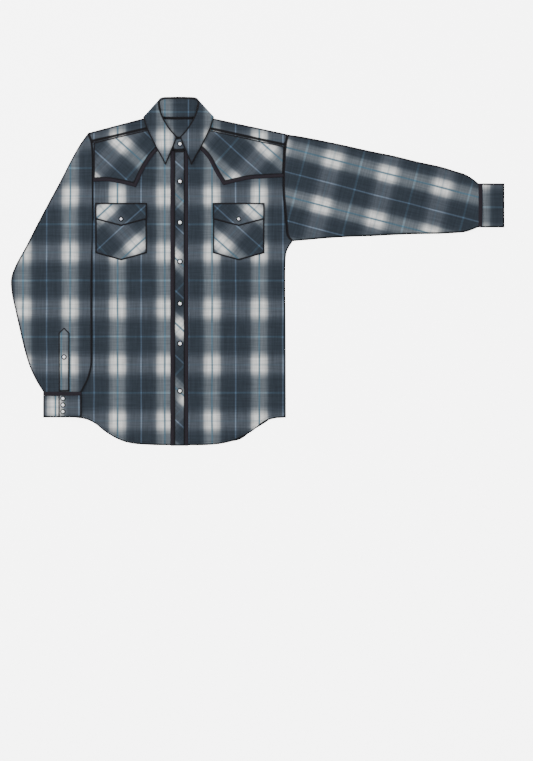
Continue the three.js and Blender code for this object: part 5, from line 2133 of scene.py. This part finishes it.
@dataclass
class SleeveEnds:
    """What finishes the sleeves: cuffs, their piping, the pointed plackets and their snaps."""

    finishes: Finishes
    sewing: Sewing
    shirt: Shirt
    sleeves: dict[Side, Sleeve]
    half: float = 13.2
    length: float = 158.5
    shoulder: float = 13.0
    snap_from_end: float = 85.5
    placket_wall: float = 1.1
    bent_middle: float = -289.0
    straight_middle: float = -224.0
    bent_end: float = -683.0
    straight_end: float = 744.0

    def build(self) -> None:
        """Builds both ends."""
        flat_ground: Height = lambda x, y: np.full_like(x, self.shirt.cuff_lift)
        bent = CuffPlan(-694.0, -748.0, -342.5, -245.5, -275.0, -303.0, True, False)
        straight = CuffPlan(755.0, 809.5, -163.5, -274.0, -240.0, -212.5, False, True)
        for side, plan, ground, mark in (
            (Side.LEFT, bent, LIE.body_ramp, (-252, -652.5)),
            (Side.RIGHT, straight, flat_ground, (812.5, -223.5)),
        ):
            Cuff(self.finishes, self.sewing, side, plan, ground, Grain.square(mark)).build()
        self.pipings()
        self.plackets()
        self.cuff_snaps()

    def pipings(self) -> None:
        """The short dark tubes between sleeves and cuffs."""
        gap = 0.3
        ends = {
            Side.LEFT: (np.array([[-342.5, -245.5], [-684.0 - gap, -694.0 + gap]]), True),
            Side.RIGHT: (np.array([[-163.5, -274.0], [745.0 + gap, 755.0 - gap]]), False),
        }
        for side, (spans, upright) in ends.items():
            across = np.linspace(spans[0, 0], spans[0, 1], 25)
            down = np.linspace(spans[1, 0], spans[1, 1], 4)
            one, other = np.meshgrid(across, down)
            plan = np.stack([one, other] if upright else [other, one], axis=-1)
            mid = self.sleeves[side].tube(plan, puff=False)
            name = f"cuff_piping_{side.value}"
            piping = cloth(f"{name}_cord", mid, WALL, mid[..., :2] * MM, self.finishes.piping, closed=True)
            piping.settle("piping", name)

    def band(self, side: Side) -> Array:
        """The pointed placket's plan on one sleeve."""

        def place(offset: float, along: float) -> Mark:
            """A point this far off the band's middle line and up from its end."""
            if side is Side.LEFT:
                return (self.bent_middle + offset, self.bent_end + along)
            return (self.straight_end - along, self.straight_middle + offset)

        straight = self.length - self.shoulder
        return filled(
            edge_of((place(-self.half, straight), place(0, self.length)),
                    (place(0, self.length), place(self.half, straight)), cells=12),
            edge_of((place(-self.half, 0), place(self.half, 0)), cells=12),
            edge_of((place(-self.half, straight), place(-self.half, 0)), cells=60),
            edge_of((place(self.half, straight), place(self.half, 0)), cells=60),
            0.0,
        )

    def plackets(self) -> None:
        """The pointed bands over the sleeves' slits, each with one snap."""
        lift = LAYER + self.placket_wall / 2
        bent = self.sleeves[Side.LEFT]
        heights: dict[Side, Height] = {
            Side.LEFT: lambda x, y: bent.top_at(x, y, True) + lift,
            Side.RIGHT: lambda x, y: self.shirt.straight_ground(x, y) - lift,
        }
        grains = {Side.LEFT: Grain.square((-355, -546)), Side.RIGHT: self.shirt.sleeve_grain}
        for side, height in heights.items():
            grid = self.band(side)
            name = f"sleeve_placket_{side.value}"
            mid = with_height(grid, height)
            check = grains[side].coordinates(grid)
            piece = cloth(f"{name}_cloth", mid, self.placket_wall, check, self.finishes.check)
            piece.settle("check_cloth", name).declare("laid", f"sleeve_{side.value}_cloth")
            down = side is Side.RIGHT
            way = -1 if down else 1
            face = mid + np.array([0, 0, way * self.placket_wall / 2])
            for edge in (Edge.LEFT, Edge.RIGHT, Edge.TOP):
                self.sewing.row(name, along_edge(face, edge, SEAM_INSET, 2.0))
            x, y = (self.bent_middle, self.bent_end + self.snap_from_end) if not down else (
                self.straight_end - self.snap_from_end, self.straight_middle)
            snap = Snap(self.finishes, 6.4, 3.9)
            seat = seat_height(height, x, y, snap.radius, down) + way * (self.placket_wall / 2 + SEAT_GAP)
            snap.build(f"snap_sleeve_{side.value}", x, y, seat, down)

    def cuff_snaps(self) -> None:
        """Three snaps down each cuff's lap."""
        snap = Snap(self.finishes, 6.2, 3.9)
        top = CUFF_WALL * 3 + CUFF_SPACE + CUFF_LAYER
        ground: Height = lambda x, y: LIE.body_ramp(x, y) + top
        for i, y in enumerate((-701.0, -717.0, -733.5)):
            seat = seat_height(ground, -292.0, y, snap.radius, False) + SEAT_GAP
            snap.build(f"snap_cuff_left_{i + 1}", -292.0, y, seat)
        for i, x in enumerate((763.0, 781.0, 798.5)):
            snap.build(f"snap_cuff_right_{i + 1}", x, -224.0, self.shirt.cuff_lift - SEAT_GAP, True)


def seat_height(height: Height, x: float, y: float, radius: float, down: bool) -> float:
    """The height that a round cap rests at on gently sloping cloth.

    Args:
        height: The cloth's outside.
        x: The cap's middle across the garment.
        y: The cap's middle up the garment.
        radius: The cap's radius.
        down: Whether it faces the floor.

    Returns:
        The highest point under it, or the lowest over it.
    """
    turn = np.linspace(0, math.tau, 12)
    around = height(x + radius * np.cos(turn), y + radius * np.sin(turn))
    return float(around.min() if down else around.max())


@dataclass
class FrontSnaps:
    """The snaps down the front and on the pocket flaps."""

    finishes: Finishes
    pockets: Pockets
    placket: Placket
    line: float = 0.0
    collar_snap: float = -65.5
    rows: tuple[float, ...] = (-159.0, -261.5, -359.0, -464.0, -564.0, -682.0)

    def build(self) -> None:
        """Builds them all."""
        Snap(self.finishes, 6.0, 4.0).build("snap_front_1", self.line, self.collar_snap, 7.55)
        snap = Snap(self.finishes, 6.8, 4.2)
        height = self.placket.height()
        for i, y in enumerate(self.rows):
            seat = seat_height(height, self.line, y, snap.radius, False) + SEAT_GAP
            snap.build(f"snap_front_{i + 2}", self.line, y, seat)
        small = Snap(self.finishes, 6.0, 3.4)
        flap = self.pockets.flap_height()
        for side, middle in self.pockets.middles.items():
            seat = seat_height(flap, middle, -253.0, small.radius, False) + SEAT_GAP
            small.build(f"snap_pocket_{side.value}", middle, -253.0, seat)


def main() -> None:
    """Builds the shirt over its frame and the stage round it."""
    logging.basicConfig(level=logging.INFO, format="%(name)s: %(message)s")
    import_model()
    Stage().build()
    Shirt(Finishes()).build()


if __name__ == "__main__":
    main()
